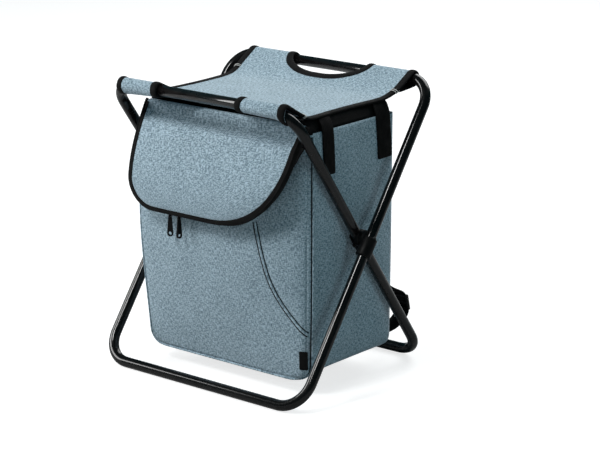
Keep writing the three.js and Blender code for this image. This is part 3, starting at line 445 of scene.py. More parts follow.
def ribs_group():
    """Ribs across a webbing's length, broken by its threads."""
    group, given, put = new_group("Webbing ribs", {"Color": BLACK, "Rib": 1.6 * MM, "Wear": 0.3})
    vector = given["Vector"]
    bands = [wave_value(group, axis, vector, maths(group, "DIVIDE", share, given["Rib"]), 0.8)
             for axis, share in (("X", 0.32), ("Y", 0.16))]
    dust = noise_value(group, vector, 900.0, 3.0)
    slow = noise_value(group, vector, 60.0)
    worn = maths(group, "MULTIPLY", maths(group, "MULTIPLY", dust, slow), given["Wear"])
    wire(group, put, Color=mix_colour(group, worn, given["Color"], (0.10, 0.095, 0.09, 1)),
         Height=maths(group, "ADD", maths(group, "MULTIPLY", *bands),
                      maths(group, "MULTIPLY", dust, 0.3)),
         Roughness=spread(group, slow, 0.3, 0.7, 0.72, 0.9))
    return group


def coat_group():
    """Powder coat: a fine orange peel, rubbed a little smoother and duller in places."""
    group, given, put = new_group("Powder coat", {
        "Color": BLACK, "Peel": 900.0, "Low roughness": 0.22, "High roughness": 0.34})
    peel = noise_value(group, given["Vector"], given["Peel"], 1.0)
    rub = noise_value(group, given["Vector"], 38.0, 4.0, 0.6)
    spot = spread(group, rub, 0.35, 0.7)
    rough = group.nodes.new("ShaderNodeMapRange")
    wire(group, rough, Value=spot, To_Min=given["Low roughness"], To_Max=given["High roughness"])
    dulled = maths(group, "MULTIPLY", spot, 0.25)
    wire(group, put, Color=mix_colour(group, dulled, given["Color"], (0.018, 0.015, 0.014, 1)),
         Height=peel, Roughness=rough.outputs[0])
    return group


def grain_group():
    """Moulded grain: shallow pits and a slow change of gloss."""
    group, given, put = new_group("Moulded grain", {"Color": BLACK, "Pits": 1600.0})
    cells = group.nodes.new("ShaderNodeTexVoronoi")
    wire(group, cells, Vector=given["Vector"], Scale=given["Pits"])
    slow = noise_value(group, given["Vector"], 90.0, 3.0)
    lighter = maths(group, "MULTIPLY", slow, 0.2)
    wire(group, put, Color=mix_colour(group, lighter, given["Color"], (0.02, 0.02, 0.02, 1)),
         Height=cells.outputs["Distance"], Roughness=spread(group, slow, 0.3, 0.7, 0.42, 0.58))
    return group


def crinkle_group():
    """Folds of a thin foil or film, with painted shade along the fold lines."""
    group, given, put = new_group("Crinkle", {"Color": (0.8, 0.8, 0.8, 1), "Scale": 60.0})
    bent = noise_value(group, given["Vector"], 30.0)
    cells = group.nodes.new("ShaderNodeTexVoronoi")
    cells.feature = "DISTANCE_TO_EDGE"
    wire(group, cells, Vector=given["Vector"], Scale=given["Scale"])
    fold = spread(group, cells.outputs["Distance"], 0.0, 0.12)
    # Painted crease shade: the colour turns greyer and darker along the fold lines.
    painted_crease_shade = maths(group, "MULTIPLY", fold, 0.25)
    wire(group, put, Color=mix_colour(group, painted_crease_shade, (0.55, 0.56, 0.57, 1), given["Color"]),
         Height=maths(group, "ADD", fold, bent), Roughness=spread(group, bent, 0.3, 0.7, 0.22, 0.42))
    return group


GROUP_MAKERS = {
    "Melange weave": melange_group,
    "Webbing ribs": ribs_group,
    "Powder coat": coat_group,
    "Moulded grain": grain_group,
    "Crinkle": crinkle_group,
}


# Materials

def finish_of(name, group_name, follow, bump, values, shader=None):
    """A material whose group gives colour, bump height and, where it has one, roughness."""
    found = bpy.data.materials.get(name)
    if found:
        return found
    material = bpy.data.materials.new(name)
    material.use_nodes = True
    tree = material.node_tree
    surface = tree.nodes["Principled BSDF"]
    place = tree.nodes.new("ShaderNodeTexCoord")
    effect = tree.nodes.new("ShaderNodeGroup")
    effect.node_tree = bpy.data.node_groups.get(group_name) or GROUP_MAKERS[group_name]()
    tree.links.new(place.outputs[follow], effect.inputs["Vector"])
    for label, value in values.items():
        effect.inputs[label].default_value = value
    tree.links.new(effect.outputs["Color"], surface.inputs["Base Color"])
    if "Roughness" in effect.outputs:
        tree.links.new(effect.outputs["Roughness"], surface.inputs["Roughness"])
    relief = tree.nodes.new("ShaderNodeBump")
    wire(tree, relief, Height=effect.outputs["Height"], Distance=bump, Strength=1.0)
    tree.links.new(relief.outputs["Normal"], surface.inputs["Normal"])
    for label, value in (shader or {}).items():
        surface.inputs[label].default_value = value
    return material


CLOTH_SHADER = {"Roughness": 0.86, "Sheen Weight": 0.25, "Sheen Roughness": 0.4,
                "Specular IOR Level": 0.25}


def cloth_material(follow="UV", name="Blue melange cloth"):
    tones = colours()
    size = sizes()
    values = {"Light": tones.cloth_light, "Dark": tones.cloth_dark, "Dash": size.dash,
              "Thread": size.thread, "Contrast": 2.1}
    return finish_of(name, "Melange weave", follow, 0.12 * MM, values, CLOTH_SHADER)


def cord_cloth_material():
    return cloth_material("Object", "Blue melange cord cloth")


def webbing_material():
    values = {"Color": colours().webbing, "Rib": sizes().rib, "Wear": 0.035}
    shader = {"Specular IOR Level": 0.12}
    return finish_of("Black webbing", "Webbing ribs", "UV", 0.25 * MM, values, shader)


def tape_material():
    values = {"Color": colours().webbing, "Rib": 0.9 * MM, "Wear": 0.07}
    shader = {"Specular IOR Level": 0.15}
    return finish_of("Black binding tape", "Webbing ribs", "UV", 0.15 * MM, values, shader)


def zip_material():
    values = {"Color": colours().zip_tape, "Rib": 1.4 * MM, "Wear": 0.12}
    return finish_of("Zip tape", "Webbing ribs", "UV", 0.2 * MM, values,
                     {"Specular IOR Level": 0.25})


def lining_material():
    values = {"Color": colours().webbing, "Rib": 0.8 * MM, "Wear": 0.06}
    return finish_of("Black lining", "Webbing ribs", "UV", 0.1 * MM, values,
                     {"Specular IOR Level": 0.15})


def tube_material():
    return finish_of("Black powder coat", "Powder coat", "Object", 0.006 * MM,
                     {"Color": colours().tube},
                     {"Coat Weight": 0.6, "Coat Roughness": 0.08, "Specular IOR Level": 0.06})


def plastic_material():
    return finish_of("Black moulded plastic", "Moulded grain", "Object", 0.04 * MM,
                     {"Color": colours().plastic}, {"Specular IOR Level": 0.14})


def metal_material():
    return finish_of("Grey zinc", "Powder coat", "Object", 0.01 * MM,
                     {"Color": colours().metal, "Low roughness": 0.25, "High roughness": 0.4},
                     {"Metallic": 1.0})


def dark_metal_material():
    return finish_of("Blackened metal", "Powder coat", "Object", 0.01 * MM,
                     {"Color": (0.02, 0.02, 0.02, 1), "Low roughness": 0.25,
                      "High roughness": 0.4}, {"Metallic": 0.6})


def foam_material():
    return finish_of("White foam", "Moulded grain", "Object", 0.2 * MM,
                     {"Color": colours().foam, "Pits": 900.0})


def foil_material():
    return finish_of("Bright liner", "Crinkle", "Object", 0.6 * MM,
                     {"Color": colours().foil}, {"Metallic": 0.9})


def thread_material(name, tone):
    return finish_of(name, "Webbing ribs", "Object", 0.1 * MM,
                     {"Color": tone, "Rib": 0.8 * MM, "Wear": 0.1})


# Mesh helpers

def stepped_box(steps):
    """A unit box from the origin, cut into steps along each axis."""
    bm = bmesh.new()
    bmesh.ops.create_cube(bm, size=1)
    bmesh.ops.translate(bm, vec=(0.5, 0.5, 0.5), verts=bm.verts)
    for axis, count in enumerate(steps):
        if count > 1:
            along = [e for e in bm.edges
                     if abs((e.verts[1].co - e.verts[0].co)[axis]) > 0.5]
            bmesh.ops.subdivide_edges(bm, edges=along, cuts=count - 1, use_grid_fill=True)
    return bm


def box_uv(bm, span):
    """Pattern coordinates in metres: each side of the unit box takes its own two directions."""
    layer = bm.loops.layers.uv.new("UVMap")
    bm.normal_update()
    for face in bm.faces:
        axis = max(range(3), key=lambda i: abs(face.normal[i]))
        first, second = ((1, 2), (0, 2), (0, 1))[axis]
        for loop in face.loops:
            at = loop.vert.co
            loop[layer].uv = (at[first] * span[first], at[second] * span[second])


def new_piece(bm, name, material, body):
    for face in bm.faces:
        face.smooth = True
    mesh = bpy.data.meshes.new(name)
    bm.to_mesh(mesh)
    bm.free()
    mesh.materials.append(material)
    piece = bpy.data.objects.new(name, mesh)
    bpy.context.scene.collection.objects.link(piece)
    if body:
        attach(piece, body)
    return piece


def modify(piece, kind, **settings):
    modifier = piece.modifiers.new(kind.title(), kind)
    for label, value in settings.items():
        setattr(modifier, label, value)
    return modifier


def smoothed(piece, levels=1):
    modify(piece, "SUBSURF", levels=levels, render_levels=levels)
    return piece


def swept(stations, width, thick, name, material, body, slot, steps, rounding=0.35, levels=1):
    """A band or cord along stations of (point, across, out); width may be one per station."""
    last = len(stations) - 1
    widths = width if isinstance(width, list) else [width] * (last + 1)
    runs = [0.0]
    for before, after in zip(stations, stations[1:]):
        runs.append(runs[-1] + (after[0] - before[0]).length)
    bm = stepped_box((last, *steps))
    layer = bm.loops.layers.uv.new("UVMap")
    for face in bm.faces:
        for loop in face.loops:
            at = loop.vert.co
            index = round(at.x * last)
            loop[layer].uv = (runs[index], at.y * widths[index] + at.z * thick)
    for vert in bm.verts:
        point, across, out = stations[round(vert.co.x * last)]
        wide = widths[round(vert.co.x * last)]
        a = 2 * vert.co.y - 1
        h = 2 * vert.co.z - 1
        if rounding >= 1:
            reach = max(abs(a), abs(h)) / (math.hypot(a, h) or 1)
            a *= reach
            h *= reach
        else:
            h *= 1 - rounding * abs(a) ** 3
        vert.co = point + across * (a * wide / 2) + out * (h * thick / 2)
    bmesh.ops.recalc_face_normals(bm, faces=bm.faces)
    piece = new_piece(bm, name, material, body)
    return smoothed(piece, levels) if levels else piece


def lathe(bm, profile, matrix):
    """Spins a profile of (radius, height) round Z and puts it in place."""
    verts = [bm.verts.new((radius, 0, height)) for radius, height in profile]
    edges = [bm.edges.new(pair) for pair in zip(verts, verts[1:])]
    before = set(bm.verts) - set(verts)
    bmesh.ops.spin(bm, geom=verts + edges, cent=(0, 0, 0), axis=(0, 0, 1), dvec=(0, 0, 0),
                   angle=2 * math.pi, steps=32, use_merge=True, use_duplicate=False)
    made = [v for v in bm.verts if v not in before]
    bmesh.ops.remove_doubles(bm, verts=made, dist=1e-6)
    made = [v for v in bm.verts if v not in before]
    bmesh.ops.transform(bm, matrix=matrix, verts=made)


def lerp(a, b, share):
    return a + (b - a) * share


def clamp(value, low=0.0, high=1.0):
    return max(low, min(high, value))


def mirrored_x(stations):
    flip = Vector((-1, 1, 1))
    return [tuple(v * flip for v in station) for station in stations]


def ways_along(points):
    """The direction of a run at each of its points."""
    last = len(points) - 1
    return [(points[min(last, i + 1)] - points[max(0, i - 1)]).normalized()
            for i in range(last + 1)]


def seam_stations(points, lift):
    """Stations on a surface for points of (place, normal)."""
    stations = []
    for (at, normal), along in zip(points, ways_along([at for at, _ in points])):
        across = normal.cross(along).normalized()
        out = along.cross(across).normalized()
        stations.append((at + out * lift, across, out))
    return stations


def square_stations(points, across, way=1):
    """Stations square to a run and as near as can be to one way across, facing either side."""
    stations = []
    for at, along in zip(points, ways_along(points)):
        out = along.cross(across).normalized()
        stations.append((at, out.cross(along).normalized(), out * way))
    return stations


def given_across(points, acrosses):
    """Stations that keep the ways across they are given."""
    return [(at, across, across.cross(along).normalized())
            for at, across, along in zip(points, acrosses, ways_along(points))]


def smooth_run(points, count):
    """A curve through the points, as evenly numbered stations."""
    given = [Vector(p) for p in points]
    run = []
    for step in range(count + 1):
        at = step / count * (len(given) - 1)
        index = min(int(at), len(given) - 2)
        t = at - index
        p0, p1 = given[max(index - 1, 0)], given[index]
        p2, p3 = given[index + 1], given[min(index + 2, len(given) - 1)]
        run.append(0.5 * (2 * p1 + (p2 - p0) * t + (2 * p0 - 5 * p1 + 4 * p2 - p3) * t * t
                          + (3 * p1 - p0 - 3 * p2 + p3) * t ** 3))
    return run


def in_metres(points):
    return [[value * MM for value in point] for point in points]


# Frames

def leg_matrix(lean, sign):
    """From the flat loop, whose Y runs up the leg, to its place in the stool."""
    return Matrix.Translation((0, 0, PIVOT_HEIGHT)) @ Matrix.Rotation(QUARTER - sign * lean, 4, "X")


def frame_loop(name, half, sign):
    """One bent tube: rings extruded along the bars and spun round the bends."""
    bm = bmesh.new()
    start = JOINT_FROM_SIDE - half
    seam = Matrix.Translation((start + JOINT_GAP / 2, LEG_ABOVE, 0))
    turned = seam @ Matrix.Rotation(QUARTER, 4, "Y")
    bmesh.ops.create_circle(bm, segments=32, radius=TUBE_RADIUS, matrix=turned)
    rim = list(bm.edges)

    def run(move):
        nonlocal rim
        made = bmesh.ops.extrude_edge_only(bm, edges=rim)["geom"]
        verts = [g for g in made if isinstance(g, bmesh.types.BMVert)]
        bmesh.ops.translate(bm, vec=move, verts=verts)
        rim = [g for g in made if isinstance(g, bmesh.types.BMEdge)
               and all(v in verts for v in g.verts)]

    def bend(centre):
        nonlocal rim
        made = bmesh.ops.spin(bm, geom=rim, cent=centre, axis=(0, 0, 1), dvec=(0, 0, 0),
                              angle=-QUARTER, steps=14, use_merge=False, use_duplicate=False)
        last = set(g for g in made["geom_last"] if isinstance(g, bmesh.types.BMVert))
        rim = [e for e in bm.edges if all(v in last for v in e.verts)]

    side = half - BEND_RADIUS
    high = LEG_ABOVE - BEND_RADIUS
    low = BEND_RADIUS - LEG_BELOW
    run((side - start - JOINT_GAP / 2, 0, 0))
    bend((side, high, 0))
    run((0, low - high, 0))
    bend((side, low, 0))
    run((-2 * side, 0, 0))
    bend((-side, low, 0))
    run((0, high - low, 0))
    bend((-side, high, 0))
    run((start + side - JOINT_GAP / 2, 0, 0))
    bmesh.ops.transform(bm, matrix=leg_matrix(LEG_LEAN, sign), verts=bm.verts)
    bmesh.ops.recalc_face_normals(bm, faces=bm.faces)
    body = "outer_frame" if sign > 0 else "inner_frame"
    piece = new_piece(bm, name, tube_material(), body)
    modify(piece, "SOLIDIFY", thickness=TUBE_WALL, offset=-1.0)
    return piece


class STOOL_OT_frames(bpy.types.Operator):
    """Bends the two tube frames"""
    bl_idname = "stool.frames"
    bl_label = "Frames"

    def execute(self, context):
        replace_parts(frame_loop("outer_frame_bent_tube", OUTER_HALF, 1), "outer_frame_tube")
        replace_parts(frame_loop("inner_frame_bent_tube", INNER_HALF, -1), "inner_frame_tube")
        for node in ("outer_frame_joint_plug", "inner_frame_joint_plug"):
            repaint(node, metal_material())
        return {"FINISHED"}


def repaint(node, material):
    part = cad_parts[node]
    if part.data.materials:
        for slot in part.material_slots:
            slot.link = "OBJECT"
            slot.material = material
    else:
        part.data.materials.append(material)
    return part


def collar(name, half, sign, side):
    """A moulded sleeve on a leg, with a round boss towards the other frame."""
    bm = bmesh.new()
    bore = TUBE_RADIUS + 0.05 * MM
    end = COLLAR_LENGTH / 2
    soft = COLLAR_SOFT
    rim = [(COLLAR_RADIUS - soft * (1 - math.sin(t)), end - soft * (1 - math.cos(t)))
           for t in (0, QUARTER / 3, 2 * QUARTER / 3, QUARTER)]
    upper = [(bore, end)] + rim
    waist = [(COLLAR_RADIUS - COLLAR_WAIST, 0.0)]
    profile = upper + waist + [(r, -h) for r, h in reversed(upper)] + [(bore, end)]
    lean = Matrix.Rotation(sign * -LEG_LEAN, 4, "X")
    at_pivot = Matrix.Translation((side * half, 0, PIVOT_HEIGHT))
    lathe(bm, profile, at_pivot @ lean @ Matrix.Translation((0, 0, -COLLAR_DROP)))
    inward = 1 if half < MATING_PLANE else -1
    reach = abs(MATING_PLANE - half) - 0.15 * MM
    boss = [(0.0, reach), (BOSS_RADIUS - soft, reach), (BOSS_RADIUS, reach - soft / 2),
            (BOSS_RADIUS, TUBE_RADIUS * 0.2), (0.0, TUBE_RADIUS * 0.2)]
    aim = Matrix.Rotation(side * inward * QUARTER, 4, "Y")
    lathe(bm, boss, at_pivot @ aim)
    ear = bmesh.ops.create_cube(bm, size=1)["verts"]
    bmesh.ops.scale(bm, vec=EAR, verts=ear)
    edges = list({e for v in ear for e in v.link_edges})
    rounded = bmesh.ops.bevel(bm, geom=edges, offset=EAR_ROUND, offset_type="OFFSET", segments=3,
                              profile=0.5, affect="EDGES", material=-1)
    ear = list({v for f in rounded["faces"] for v in f.verts} | {v for v in ear if v.is_valid})
    up = end - COLLAR_DROP - EAR[2] / 2 - soft
    across = Vector((0, sign * (COLLAR_RADIUS + EAR[1] / 4), up))
    bmesh.ops.transform(bm, matrix=at_pivot @ lean @ Matrix.Translation(across), verts=ear)
    bmesh.ops.recalc_face_normals(bm, faces=bm.faces)
    body = "outer_frame" if sign > 0 else "inner_frame"
    return new_piece(bm, name, plastic_material(), body)


def rivet(name, side):
    bm = bmesh.new()
    dome = [(0.0, RIVET_HIGH)] + [(RIVET_HEAD * math.cos(t), RIVET_HIGH * math.sin(t))
                                  for t in (0.95, 0.65, 0.35, 0)]
    rim = [(RIVET_HEAD, -RIVET_RIM), (0.0, -RIVET_RIM)]
    for place, way in ((RIVET_OUTSIDE - RIVET_HIGH, 1), (RIVET_INSIDE + RIVET_HIGH, -1)):
        at_head = Matrix.Translation((side * place, 0, PIVOT_HEIGHT))
        lathe(bm, dome + rim, at_head @ Matrix.Rotation(side * way * QUARTER, 4, "Y"))
    bmesh.ops.recalc_face_normals(bm, faces=bm.faces)
    return new_piece(bm, name, dark_metal_material(), "outer_frame")


class STOOL_OT_collars(bpy.types.Operator):
    """Moulds the collars and rivets of the two pivots"""
    bl_idname = "stool.collars"
    bl_label = "Collars and rivets"

    def execute(self, context):
        for word, side in (("right", 1), ("left", -1)):
            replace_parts(collar(f"outer_moulded_collar_{word}", OUTER_HALF, 1, side),
                        f"outer_collar_{word}")
            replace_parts(collar(f"inner_moulded_collar_{word}", INNER_HALF, -1, side),
                        f"inner_collar_{word}")
            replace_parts(rivet(f"domed_rivet_{word}", side), f"pivot_rivet_{word}")
        return {"FINISHED"}


# Seat

def seat_top(y):
    past = (abs(y) - SEAT_BEND_PLACE) / SEAT_SOFTNESS
    return SEAT_HEIGHT + math.tan(SEAT_SLOPE) * SEAT_SOFTNESS * math.log(1 + math.exp(past))


def notch_sizes(y):
    """Half width and depth of the notch on this side of the seat."""
    return (REAR_NOTCH_HALF, REAR_NOTCH_DEPTH) if y > 0 else (NOTCH_HALF, NOTCH_DEPTH)


def notch_half_at(y):
    half, depth = notch_sizes(y)
    share = (abs(y) - BAR_REACH) / depth
    return half * math.sqrt(max(0.0, 1 - share * share))


def half_profile(depth):
    """Rows (run, y, z, ny, nz) of the cloth from the seat's middle, over a bar, to the tail."""
    half_cloth = sizes().cloth / 2
    tail = NOTCH_DEPTH - MM
    rows = []
    places = [7 * MM * i for i in range(11)] + [(77 + 4 * i) * MM for i in range(8)]
    arc_points = 8 if depth == NOTCH_DEPTH else 7
    places += [BAR_REACH - depth * math.cos(math.radians(7 * i)) for i in range(arc_points)]
    for y in places:
        rise = (seat_top(y + MM) - seat_top(y - MM)) / (2 * MM)
        normal = Vector((-rise, 1)).normalized()
        rows.append((Vector((y, seat_top(y))) - normal * half_cloth, normal))
    bar = Vector((BAR_REACH, BAR_HEIGHT))
    out = Vector((-math.sin(SEAT_SLOPE), math.cos(SEAT_SLOPE)))
    down = Vector((-math.cos(SEAT_SLOPE), -math.sin(SEAT_SLOPE)))
    mid_radius = SLEEVE_RADIUS - half_cloth
    leave = out * mid_radius
    for share in (0.5, 0.38, 0.26, 0.14):
        rows.append((bar + leave + down * ((depth - MM) * share), out))
    tip = leave - out * (2.1 * half_cloth) + down * (tail * 0.92)
    first = math.atan2(leave.y, -leave.x)
    last = 2 * math.pi + math.atan2(tip.y, -tip.x) - math.acos(mid_radius / tip.length)
    turns = 26
    for step in range(turns + 1):
        turn = lerp(first, last, step / turns)
        normal = Vector((-math.cos(turn), math.sin(turn)))
        rows.append((bar + normal * mid_radius, normal))
    graze, normal = rows[-1]
    for share in (0.25, 0.5, 0.75, 1.0):
        rows.append((graze.lerp(bar + tip, share), normal))
    runs = [0.0]
    for (before, _), (after, _) in zip(rows, rows[1:]):
        runs.append(runs[-1] + (after - before).length)
    return [(run, at.x, at.y, n.x, n.y) for run, (at, n) in zip(runs, rows)]


def cloth_profile():
    """Rows of the cloth's middle from the front tail, over both bars, to the rear tail."""
    front = [(-run, -y, z, -ny, nz) for run, y, z, ny, nz in half_profile(NOTCH_DEPTH)[1:]]
    return front[::-1] + half_profile(REAR_NOTCH_DEPTH)


class SeatCloth:
    """Takes pattern coordinates of the seat cloth to their place round the bars."""

    def __init__(self):
        self.rows = cloth_profile()
        self.runs = [row[0] for row in self.rows]
        self.tail_run = self.run_at(TAIL_TOP_REACH)
        self.wrap_run = self.run_at(BAR_REACH - SLEEVE_RADIUS * math.sin(SEAT_SLOPE))

    def run_at(self, y):
        """The run on the upper layer whose point has this distance from the middle."""
        for before, after in zip(self.rows, self.rows[1:]):
            if before[1] <= y <= after[1] and before[0] >= 0:
                return lerp(before[0], after[0], (y - before[1]) / ((after[1] - before[1]) or 1))
        return self.runs[-1]

    def row_at(self, run):
        for before, after in zip(self.rows, self.rows[1:]):
            if run <= after[0]:
                share = (run - before[0]) / ((after[0] - before[0]) or 1)
                return [lerp(a, b, share) for a, b in zip(before, after)]
        return list(self.rows[-1])

    def half_at(self, run, side=1):
        row = self.row_at(run)
        extra = CORNER_EXTRA[side, 1 if run > 0 else -1]
        start = WIDENING_START[side] * self.tail_run
        more = extra * clamp((abs(run) - start) / (self.wrap_run - start))
        if abs(run) <= self.tail_run:
            return SEAT_WAIST + (SEAT_END - SEAT_WAIST) * (row[1] / TAIL_TOP_REACH) ** 2 + more
        ease = clamp((abs(run) - self.tail_run) / (self.wrap_run - self.tail_run))
        return lerp(SEAT_END, SLEEVE_END, ease) + more

    def hem_inset(self, run):
        """How far the lower layer's cloth ends inside its tape."""
        return HEM_INSET * clamp((abs(run) - self.wrap_run - HEM_START) / HEM_EASE)

    def notch_at(self, row):
        """Half the notch's width in a row; the lower layer stays open as far as it reaches."""
        y = row[1]
        if abs(row[0]) > self.wrap_run:
            least = BAR_REACH - notch_sizes(y)[1] + NOTCH_LEAST
            y = math.copysign(max(abs(y), least), y)
        return notch_half_at(y)

    def point(self, x, run, lift=0.0):
        _, y, z, ny, nz = self.row_at(run)
        past = abs(run) - self.wrap_run
        if past > 0:
            y, z = self.follow_bend(x, y, z, clamp(past / BEND_EASE))
        return Vector((x, y + ny * lift, z + nz * lift))

    def follow_bend(self, x, y, z, ease):
        """Widens the sleeve downwards to its end, and over the bar where that bends down."""
        side = 1 if y > 0 else -1
        half = OUTER_HALF if side > 0 else INNER_HALF
        into = clamp(abs(x) - (half - BEND_RADIUS), 0, BEND_RADIUS * BEND_REACH)
        drop = BEND_RADIUS - math.sqrt(BEND_RADIUS ** 2 - into ** 2)
        fall = Vector((-side * math.sin(LEG_LEAN), -math.cos(LEG_LEAN)))
        section = Vector((y - side * BAR_REACH, z - BAR_HEIGHT))
        low = section.dot(fall)
        share = clamp((abs(x) - NOTCH_HALF) / (SLEEVE_END - NOTCH_HALF))
        grown = SLEEVE_RADIUS * (1 + SLEEVE_FLARE[1 if x > 0 else -1, side] * share)
        if drop > 0:
            oblique = TUBE_RADIUS / math.cos(math.asin(into / BEND_RADIUS))
            grown = max(grown, drop + oblique + BEND_COVER)
        if low > 0:
            section += fall * (min(low, SLEEVE_RADIUS) * (grown / SLEEVE_RADIUS - 1))
        section += fall * (BEND_FALL * drop * ease * clamp(1 - low / SLEEVE_RADIUS))
        return side * BAR_REACH + section.x, BAR_HEIGHT + section.y


def seat_body(piece):
    """Bakes the piece's placement into its mesh; the seat's cloth is not attached to either frame.
    """
    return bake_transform(piece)


def wrinkle(x, run):
    """Soft folds that run between the ends of the sleeves."""
    stretch = noise.noise(Vector((x * 9, run * 34, 3.1)))
    fine = noise.noise(Vector((x * 40, run * 60, 8.7)))
    hold = clamp(abs(run) / 0.1, 0.35, 1)
    return (0.8 * stretch + 0.25 * fine) * hold * MM


class STOOL_OT_seat(bpy.types.Operator):
    """Lays the seat cloth from sleeve to sleeve, with its notches"""
    bl_idname = "stool.seat"
    bl_label = "Seat cloth"

    def execute(self, context):
        cloth = SeatCloth()
        columns = 32
        rows = len(cloth.rows) - 1
        bm = bmesh.new()
        bmesh.ops.create_grid(bm, x_segments=columns, y_segments=rows, size=1)
        place = {v: (round((v.co.x + 1) / 2 * columns), round((v.co.y + 1) / 2 * rows))
                 for v in bm.verts}
        open_rows = [i for i, row in enumerate(cloth.rows) if cloth.notch_at(row) > 0]
        middle = columns // 2
        split = [e for e in bm.edges
                 if all(place[v][0] == middle for v in e.verts)
                 and any(place[v][1] in open_rows for v in e.verts)]
        sides = {f: f.calc_center_median().x for f in bm.faces}
        spots = {(round(v.co.x, 6), round(v.co.y, 6)): p for v, p in place.items()}
        bmesh.ops.split_edges(bm, edges=split)
        layer = bm.loops.layers.uv.new("UVMap")
        pattern = {}
        for vert in bm.verts:
            column, row = spots[(round(vert.co.x, 6), round(vert.co.y, 6))]
            run = cloth.runs[row]
            share = abs(column - middle) / middle
            side = 1 if sides[vert.link_faces[0]] > 0 else -1
            inner = cloth.notch_at(cloth.rows[row])
            x = side * lerp(inner, cloth.half_at(run, side) - cloth.hem_inset(run), share)
            pattern[vert] = (x if column != middle or inner > 0 else 0.0, run)
        for face in bm.faces:
            corners = [Vector(pattern[loop.vert]) for loop in face.loops]
            for loop, corner in zip(face.loops, corners):
                loop[layer].uv = corner
        for vert, (x, run) in pattern.items():
            bumpy = wrinkle(x, run) if abs(run) < cloth.tail_run else 0.0
            vert.co = cloth.point(x, run, bumpy)
        bmesh.ops.recalc_face_normals(bm, faces=bm.faces)
        centre = min(bm.faces, key=lambda f: f.calc_center_median().length_squared
                     if f.calc_center_median().z > 0.38 else 9)
        if centre.normal.z < 0:
            bmesh.ops.reverse_faces(bm, faces=bm.faces)
        piece = new_piece(bm, "seat_cloth", cloth_material(), None)
        modify(piece, "SOLIDIFY", thickness=sizes().cloth, offset=0.0)
        smoothed(piece)
        seat_body(piece)
        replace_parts(piece, "seat_panel", "front_sleeve_right", "front_sleeve_left",
                    "rear_sleeve_right", "rear_sleeve_left")
        return {"FINISHED"}


def edge_stations(cloth, path, widths):
    """Stations along a cloth edge given as pattern points, moved inwards by half a width."""
    flat = [Vector(p) for p in path]
    stations = []
    for at, along, width in zip(flat, ways_along(flat), widths):
        inward = Vector((-along.y, along.x))
        middle = at + inward * (width / 2)
        here = cloth.point(middle.x, middle.y)
        across = cloth.point(middle.x + inward.x * MM, middle.y + inward.y * MM) - here
        ahead = cloth.point(middle.x + along.x * MM, middle.y + along.y * MM) - here
        across.normalize()
        stations.append((here, across, -ahead.cross(across).normalized()))
    return stations


def past_ends(stations):
    """Takes the tape a little past the cloth's two ends, to cover them."""
    ends = []
    for (at, across, out), (near, _, _) in (stations[:2], stations[:-3:-1]):
        ends.append((at + (at - near).normalized() * TAPE_PAST, across, out))
    return [ends[0], *stations[1:-1], ends[1]]


def tape_width(cloth, run, hem):
    """The edge tape is wider where it goes round a bar, and as wide as the hem under it."""
    size = sizes()
    round_bar = clamp((abs(run) - cloth.tail_run) / RING_EASE)
    ring = lerp(size.binding_width, size.ring_width, round_bar)
    under = clamp((abs(run) - cloth.wrap_run - TAPE_GROWS_AT) / TAPE_GROWS_IN)
    return lerp(ring, hem, under)


class STOOL_OT_bindings(bpy.types.Operator):
    """Binds the seat's sides, sleeve ends and notches with tape, and tacks the corners"""
    bl_idname = "stool.bindings"
    bl_label = "Seat bindings"

    def execute(self, context):
        cloth = SeatCloth()
        size = sizes()
        runs = cloth.runs
        widths = [tape_width(cloth, run, HEM_WIDTH) for run in runs]
        for word, side in (("right", 1), ("left", -1)):
            edge = [(cloth.half_at(run, side), run) for run in runs]
            path = past_ends(edge_stations(cloth, edge, widths))
            path = path if side > 0 else mirrored_x(path)
            piece = self.tape(path, widths, f"seat_side_tape_{word}")
            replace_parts(piece, f"seat_edge_binding_{word}")
        for word, side in (("rear", 1), ("front", -1)):
            reach = BAR_REACH - notch_sizes(side)[1]
            rows = [row for row in cloth.rows if row[0] * side > 0]
            rows.sort(key=lambda row: -abs(row[0]))
            apex = min(rows, key=lambda row: abs(abs(row[1]) - reach))[0]
            half = [(side * cloth.notch_at(row), row[0]) for row in rows
                    if cloth.notch_at(row) > 1e-5]
            path = half + [(0.0, apex)] + [(-x, run) for x, run in reversed(half)]
            widths = [tape_width(cloth, run, size.ring_width) for _, run in path]
            piece = self.tape(edge_stations(cloth, path, widths), widths, f"{word}_notch_tape")
            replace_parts(piece, f"{word}_notch_binding")
        for end, way in (("front", -1), ("rear", 1)):
            for word, side in (("right", 1), ("left", -1)):
                self.tack(cloth, f"{end}_tack_{word}", side, way)
        return {"FINISHED"}

    def tape(self, stations, widths, name):
        piece = swept(stations, widths, sizes().binding_thick, name, tape_material(), None,
                      "black_webbing", **TAPE)
        seat_body(piece)
        return piece

    def tack(self, cloth, name, side, way):
        """A bar of pale thread round the tape, where the sleeve's seam ends."""
        size = sizes()
        turns = []
        for step in range(33):
            turn = 4 * math.pi * step / 32
            run = way * (cloth.tail_run - TACK_BACK + TACK_LONG * step / 32)
            edge = cloth.half_at(run, side) - size.binding_width / 2
            wide = size.binding_width / 2 + 0.9 * MM
            at = cloth.point(side * (edge + wide * math.cos(turn)), run,
                             (size.binding_thick / 2 + 0.8 * MM) * math.sin(turn))
            centre = cloth.point(side * edge, run)
            turns.append((at, (at - centre).normalized()))
        piece = swept(seam_stations(turns, 0.0), TACK_THREAD, TACK_THREAD, name,
                      thread_material("Pale tack thread", (0.6, 0.6, 0.58, 1)), None,
                      "seat_cloth", **CORD)
        seat_body(piece)


# Bag

